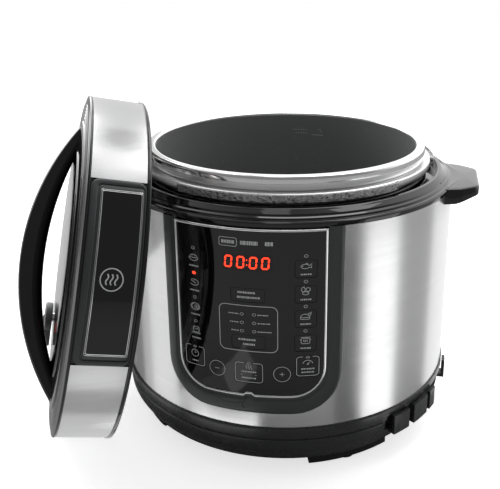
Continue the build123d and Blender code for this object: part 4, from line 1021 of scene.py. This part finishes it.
# Lid
class COOKER_OT_lid_shell(bpy.types.Operator):
    """Rolled rim, stepped cover with fine grooves, and the badge on the lid's side"""

    bl_idname = "cooker.lid_shell"
    bl_label = "Lid shell"

    def execute(self, context):
        size = context.scene.cooker_sizes
        rim = LID.reach("lid_skirt")
        band_in = LID.reach("lid_band") - 1.0
        seat = LID.span("lid_skirt")[1]
        skirt = rounded(
            [
                (rim - 8, 1.5), (rim - 8, 0), (rim, 0), (rim, 3.1), (band_in, 3.1), (band_in, seat),
                (band_in - 3, seat), (band_in - 3, 4), (rim - 8, 3), (rim - 8, 1.5)
            ], [0, 0.8, 1.3, 0.5, 0, 0.2, 0.2, 0.6, 0.8, 0], 5
        )[:-1]
        make_piece(
            "lid_rim", [turned(LID, skirt, steps=size.turn_steps)], "gloss black", "lid",
            ("lid_skirt",)
        )
        self.cover(size, seat)
        self.badge()
        return {"FINISHED"}

    def cover(self, size, seat):
        """Cover: low steps between rounded ridges, and a ring of fine grooves by its edge."""
        edge = LID.reach("lid_cover")
        top = LID.span("lid_cover")[1]
        steps = []
        for radius, height in ((96.0, 1.9), (118.0, 3.9)):
            steps += [(radius, top - height), (radius + 1.0, top - height - 1.1)]
        grooves = []
        for k in range(5):
            radius = 121.5 + 2.6 * k
            height = top - 5.0 - 0.16 * k
            grooves += [
                (radius, height), (radius + 0.5, height - 0.55), (radius + 1.1, height - 0.55),
                (radius + 1.6, height - 0.05)
            ]
        outline = [(0, top), (60, top - 0.8), *steps, *grooves, (136.4, top - 6.6), (edge, seat + 1.9)]
        outline += [(edge, seat), (132, seat), (129, seat - 1), (100, top - 6.0), (0, top - 3.5)]
        radii = [0, 60, *[0.6] * 4, *[0.12] * 20, 1.4, 1.2, 0.5, 0, 0, 0, 0]
        cover = make_piece(
            "lid_top_cover", [turned(LID, rounded(outline, radii, 3), steps=size.turn_steps)],
            "gloss black", "lid", ("lid_cover",)
        )
        cutters = []
        for node, radius in (("steam_pipe", 6.2), ("float_valve", 4.3)):
            x, y = LID.middle(node)
            rod = oval(0, 0, 2 * radius, 2 * radius, 48)
            rings = [LID.point(x + rod[:, 0], y + rod[:, 1], np.full(48, h)) for h in (top - 12, top + 4)]
            cutters.append(capped(np.stack(rings)))
        cut_holes(cover, cutters)

    def badge(self):
        """Soft-edged surround, double bright line and plate, all wrapped on the lid's side."""
        face = LID.reach("badge_surround")
        half = LID.local("badge_surround")[:, 0].max()
        low, high = LID.span("badge_surround")
        middle = (low + high) / 2
        line_low, line_high = LID.span("badge_frame")
        line_half = LID.local("badge_frame")[:, 0].max()
        line_mid = (line_low + line_high) / 2
        tall = line_high - line_low
        outer_path = rounded_block(0, middle, 2 * half, high - low, 6.0)
        inner_path = rounded_block(0, line_mid + 0.3, 2 * (line_half + 3.2), tall + 2.6, 2.4)
        counts = parts(outer_path, LOOP_RUN)
        outer = divided(outer_path, counts)[:-1]
        inner = divided(inner_path, counts)[:-1]
        section = [
            (0, face - 2.2), (0, face - 1.0), (0.05, face - 0.45), (0.2, face - 0.05), (0.35, face),
            (0.75, face), (0.9, face - 0.25), (1.0, face - 0.9), (1.0, face - 2.2)
        ]
        inner_floor = plate(LID, inner, face - 2.2, face - 0.75, 0.02, 16)
        make_piece(
            "badge_bezel", [band(LID, outer, inner, section, True), inner_floor], "satin grey", "lid",
            ("badge_surround",)
        )
        grids = []
        for start, stop in ((0.0, 0.5), (0.85, 1.4)):
            first = rounded_block(0, line_mid, 2 * (line_half - start), tall - 2 * start, 1.4)
            second = rounded_block(0, line_mid, 2 * (line_half - stop), tall - 2 * stop, 1.0)
            counts = parts(first, LOOP_RUN)
            bead = [
                (0, face - 1.0), (0, face + 0.1), (0.3, face + 0.28), (0.7, face + 0.28), (1, face + 0.1),
                (1, face - 1.0)
            ]
            grids.append(band(LID, divided(first, counts)[:-1], divided(second, counts)[:-1], bead, True))
        make_piece("badge_bright_line", grids, "bright frame", "lid", ("badge_frame",))
        grids = [stroke(LID, oval(-4.0, middle, 15.0, 15.0, 56), 0.8, face - 0.02, face + 0.08, closed=True)]
        swing = np.linspace(0, 1, 20)
        for k in (-1, 0, 1):
            rise = middle + 3.0 * k + 0.8 * np.sin(swing * 2 * math.pi)
            line = np.column_stack([-4.0 - 3.6 + 7.2 * swing, rise])
            grids.append(stroke(LID, line, 0.9, face - PRINT_SINK, face + 0.08))
        make_piece("badge_emblem", grids, "ink", "lid")


def cut_holes(piece, cutters):
    """Cut closed rods out of a piece, and mark its hard edges again."""
    mesh = bpy.data.meshes.new("cutters")
    shape = bmesh.new()
    for points, _, _ in cutters:
        columns = points.shape[1]
        rings = [[shape.verts.new(p) for p in row] for row in points]
        for a, b in zip(rings, rings[1:]):
            for k in range(columns):
                shape.faces.new((a[k], a[(k + 1) % columns], b[(k + 1) % columns], b[k]))
    bmesh.ops.remove_doubles(shape, verts=shape.verts, dist=0.002 * MM)
    bmesh.ops.recalc_face_normals(shape, faces=shape.faces)
    shape.to_mesh(mesh)
    shape.free()
    rods = bpy.data.objects.new("cutters", mesh)
    link(rods)
    cut = piece.modifiers.new("holes", "BOOLEAN")
    cut.operation = "DIFFERENCE"
    cut.solver = "EXACT"
    cut.object = rods
    bpy.context.view_layer.update()
    result = bpy.data.meshes.new_from_object(piece.evaluated_get(bpy.context.evaluated_depsgraph_get()))
    piece.modifiers.remove(cut)
    piece.data = result
    bpy.data.objects.remove(rods)
    result.shade_smooth()
    result.set_sharp_from_angle(angle=math.radians(38))


class COOKER_OT_grip(bpy.types.Operator):
    """Arched grip across the lid"""

    bl_idname = "cooker.grip"
    bl_label = "Lid grip"

    def execute(self, context):
        corners = LID.local("lid_grip")
        half = corners[:, 0].max()
        foot, top = LID.span("lid_grip")
        inside = 64.0
        cover_top = LID.span("lid_cover")[1]
        turn = np.linspace(-1, 1, 120)
        outer = self.arch(turn, half - 0.5, foot + 0.6, top)
        inner = self.arch(turn, half - 21, cover_top - 4.5, inside)
        width = 15.6 + 4.6 * np.abs(turn) ** 2
        thickness = np.linalg.norm(outer - inner, axis=1)
        section = np.radians(np.arange(0, 360, 9.0))
        power = 0.34
        across = np.sign(np.cos(section)) * np.abs(np.cos(section)) ** power
        through = np.sign(np.sin(section)) * np.abs(np.sin(section)) ** power
        middle = (outer + inner) / 2
        lean = (outer - inner) / thickness[:, None]
        depth = through * thickness[:, None] / 2
        x = middle[:, :1] + lean[:, :1] * depth
        height = middle[:, 1:] + lean[:, 1:] * depth
        crown = 1 + 0.05 * through
        points = LID.point(x, across * crown * width[:, None], height)
        make_piece("grip_arch", [capped(points)], "gloss black", "lid", ("lid_grip",), 50.0)
        return {"FINISHED"}

    def arch(self, turn, half, foot, top):
        """Circle through two feet and the top: its radius is (half squared plus rise squared) over
        twice the rise, and turn runs from one foot to the other."""
        rise = top - foot
        radius = (half * half + rise * rise) / (2 * rise)
        angle = turn * math.asin(half / radius)
        return np.column_stack([radius * np.sin(angle), top - radius + radius * np.cos(angle)])


class COOKER_OT_valve(bpy.types.Operator):
    """Steam release knob with its pointed lever"""

    bl_idname = "cooker.valve"
    bl_label = "Steam valve"

    def execute(self, context):
        x, y = LID.middle("steam_pipe")
        low = LID.span("steam_valve")[0]
        knob = rounded(
            [
                (4.2, low), (12.5, low), (12.5, low + 6), (7, low + 6.4), (0, low + 6.6), (0, low + 4.2),
                (4.2, low + 4.2), (4.2, low)
            ], [0, 0.8, 1.4, 2, 0, 0, 0.3, 0], 5
        )[:-1]
        seat = Seat(LID.point(x, y, 0.0), LID.across, LID.front, LID.axis)
        lever = rounded(
            [(-25, 0), (-25, -3.2), (-8, -4.5), (2, -4.5), (2, 4.5), (-8, 4.5), (-25, 3.2), (-25, 0)],
            [0, 2.6, 8, 2, 2, 8, 2.6, 0], 6
        )[:-1]
        rows = []
        for inward, height in ((0.4, 0.0), (0, 0.4), (0, 5.9), (0.35, 6.9), (1.1, 7.4), (1.8, 7.5)):
            flat = inset(lever, inward)
            rows.append(seat.point(flat[:, 0], flat[:, 1], low + height))
        body = capped(np.stack(rows))
        make_piece(
            "valve_knob", [turned(seat, knob, steps=64), body], "valve grey", "steam_valve",
            ("steam_valve",)
        )
        return {"FINISHED"}


# Stage
class COOKER_OT_stage(bpy.types.Operator):
    """Pale floor, soft lights, white surroundings and the camera"""

    bl_idname = "cooker.stage"
    bl_label = "Stage"

    def execute(self, context):
        self.floor()
        self.surroundings(context.scene)
        self.softbox(170.0, wide=1.2, high=1.3, tall=0.7, away=0.45, radiance=2.4)
        self.softbox(-115.0, wide=0.9, high=0.55, tall=0.7, away=0.9, radiance=1.6)
        wall = COOKER.reach("outer_shell")
        for start, stop, low, high, reach, level in (
            (26.0, 33.0, 40, 215, 0.5, 0.14), (35.0, 47.0, 40, 215, 1.0, 1.7),
            (64.0, 89.0, 40, 215, 1.0, 1.2), (-21.0, 2.5, 40, 57, 0.3, 1.6),
            (-53.0, -44.0, 40, 215, 0.03, 0.25), (-44.0, -38.0, 40, 215, 0.04, 0.62),
            (-38.0, -25.0, 40, 215, 0.06, 1.05)
        ):
            self.card(COOKER, wall, (start, stop), (low, high), reach, level)
        wall = LID.reach("lid_band")
        for start, stop, level in (
            (48.0, 78.0, 0.8), (38.5, 48.0, 0.3), (28.0, 38.5, 1.4), (-36.0, -27.0, 0.95),
            (-46.0, -36.0, 0.45), (-76.0, -47.0, 0.75)
        ):
            self.card(LID, wall, (start, stop), heights=(0, 46), reach=0.3, level=level)
        self.camera(context.scene)
        context.scene.view_settings.view_transform = "Standard"
        return {"FINISHED"}

    def sheet(self, name, corners, material):
        """Flat four-cornered stage piece."""
        mesh = bpy.data.meshes.new(name)
        mesh.from_pydata([Vector(corner) for corner in corners], [], [(0, 1, 2, 3)])
        mesh.materials.append(material)
        piece = bpy.data.objects.new(name, mesh)
        link(piece)
        return piece

    def floor(self):
        """Square of pale matt floor under the cooker, white where seen and greyer in reflections."""
        paint = new_finish("floor paint", (0.93, 0.93, 0.93), 0.004, (0.5, 0.55), (30, 0.0), smudge=3.0)
        tree = paint.node_tree
        shader = tree.nodes["Principled BSDF"]
        path = add_node(tree, "ShaderNodeLightPath")
        seen = path.outputs["Is Camera Ray"]
        base = shader.inputs["Base Color"]
        tone = mix_node(tree, seen, (0.5, 0.5, 0.5, 1.0), base.links[0].from_socket)
        glow = math_node(tree, "MULTIPLY", seen, 0.7)
        tree.links.new(tone, base)
        tree.links.new(glow, shader.inputs["Emission Strength"])
        shader.inputs["Specular IOR Level"].default_value = 0.0
        half = 4
        self.sheet("floor", [(-half, -half, 0), (half, -half, 0), (half, half, 0), (-half, half, 0)], paint)

    def card(self, seat, wall, angles, heights, reach, level):
        """Bright sheet that a round wall mirrors to the eye between two angles and two heights.

        Each corner lies on the eye's line mirrored in the wall, at this reach or just above the floor.
        """
        corners = []
        for angle, height in ((0, 0), (0, 1), (1, 1), (1, 0)):
            turn = np.radians(angles[angle])
            place = seat.turn(wall, turn, heights[height])
            normal = (seat.turn(wall + 1, turn, heights[height]) - place) / MM
            look = place - self.eye()
            look = look / np.linalg.norm(look)
            back = look - 2 * (look @ normal) * normal
            distance = reach
            if back[2] < 0:
                distance = min(reach, (place[2] - 0.003) / -back[2])
            corners.append(place + distance * back)
        glow = bpy.data.materials.new("card")
        glow.use_nodes = True
        tree = glow.node_tree
        tree.nodes.remove(tree.nodes["Principled BSDF"])
        light = add_node(tree, "ShaderNodeEmission", {"Color": (1, 1, 1, 1), "Strength": level})
        tree.links.new(light.outputs[0], tree.nodes["Material Output"].inputs["Surface"])
        sheet = self.sheet("card", corners, glow)
        sheet.visible_camera = False
        sheet.visible_diffuse = False
        sheet.visible_shadow = False

    def surroundings(self, scene):
        """White seen directly; in reflections it brightens from the front to the back."""
        world = bpy.data.worlds.new("studio")
        world.use_nodes = True
        tree = world.node_tree
        background = tree.nodes["Background"]
        coords = add_node(tree, "ShaderNodeTexCoord")
        split = add_node(tree, "ShaderNodeSeparateXYZ", {"Vector": coords.outputs["Generated"]})
        rise = add_node(
            tree, "ShaderNodeMapRange",
            {
                "Value": split.outputs["Y"], "From Min": -0.25, "From Max": 0.6, "To Min": 0.24,
                "To Max": 1.35
            }, interpolation_type="SMOOTHSTEP"
        )
        tree.links.new(rise.outputs[0], background.inputs["Strength"])
        background.inputs["Color"].default_value = (1, 1, 1, 1)
        seen = add_node(tree, "ShaderNodeBackground", {"Color": (1, 1, 1, 1), "Strength": 1.0})
        path = add_node(tree, "ShaderNodeLightPath")
        mix = add_node(tree, "ShaderNodeMixShader", {0: path.outputs["Is Camera Ray"]})
        tree.links.new(background.outputs[0], mix.inputs[1])
        tree.links.new(seen.outputs[0], mix.inputs[2])
        tree.links.new(mix.outputs[0], tree.nodes["World Output"].inputs["Surface"])
        scene.world = world

    def softbox(self, azimuth, wide, high, tall, away, radiance):
        """Light of this width and length above the cooker at an angle from the front, aimed at it."""
        turn = math.radians(azimuth)
        light = bpy.data.lights.new("softbox", "AREA")
        light.shape = "RECTANGLE"
        light.size = wide
        light.size_y = tall
        light.energy = radiance * math.pi * wide * tall
        box = bpy.data.objects.new("softbox", light)
        box.location = (away * math.sin(turn), -away * math.cos(turn), high)
        aim = Vector((0, 0, 0.12)) - box.location
        box.rotation_euler = aim.to_track_quat("-Z", "Y").to_euler()
        box.visible_camera = False
        link(box)

    def eye(self):
        """Place of the camera: its distance from the axis, its angle from the front and its height."""
        turn = math.radians(EYE_TURN)
        return np.array([EYE_AWAY * math.sin(turn), -EYE_AWAY * math.cos(turn), EYE_HIGH])

    def camera(self, scene):
        """Eye above the front, a little to the right, looking down at the panel."""
        camera = bpy.data.cameras.new("camera")
        camera.sensor_width = 36.0
        camera.lens = 53.2
        camera.shift_x = -0.0718
        camera.shift_y = -0.10
        camera.clip_start = 0.01
        eye = bpy.data.objects.new("camera", camera)
        eye.location = self.eye()
        eye.rotation_euler = (math.radians(90 - EYE_DOWN), 0, math.radians(EYE_TURN))
        link(eye)
        scene.camera = eye


STEPS = (
    COOKER_OT_finishes, COOKER_OT_pot, COOKER_OT_housing, COOKER_OT_top_ring, COOKER_OT_base,
    COOKER_OT_panel, COOKER_OT_symbols, COOKER_OT_print, COOKER_OT_display, COOKER_OT_lid_shell,
    COOKER_OT_grip, COOKER_OT_valve, COOKER_OT_stage
)


class COOKER_PT_panel(bpy.types.Panel):
    """Buttons for each group of pieces, and the sizes and colours they use"""

    bl_idname = "COOKER_PT_panel"
    bl_label = "Pressure cooker"
    bl_space_type = "VIEW_3D"
    bl_region_type = "UI"
    bl_category = "Cooker"

    def draw(self, context):
        for group in (context.scene.cooker_sizes, context.scene.cooker_colours):
            for name in group.__annotations__:
                self.layout.prop(group, name)
        for step in STEPS:
            self.layout.operator(step.bl_idname)


CLASSES = (CookerSizes, CookerColours, *STEPS, COOKER_PT_panel)


def register():
    for item in CLASSES:
        bpy.utils.register_class(item)
    bpy.types.Scene.cooker_sizes = PointerProperty(type=CookerSizes)
    bpy.types.Scene.cooker_colours = PointerProperty(type=CookerColours)


def unregister():
    del bpy.types.Scene.cooker_colours
    del bpy.types.Scene.cooker_sizes
    for item in reversed(CLASSES):
        bpy.utils.unregister_class(item)


def main():
    """Register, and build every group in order."""
    register()
    for step in STEPS:
        group, name = step.bl_idname.split(".")
        getattr(getattr(bpy.ops, group), name)()


if __name__ == "__main__":
    main()
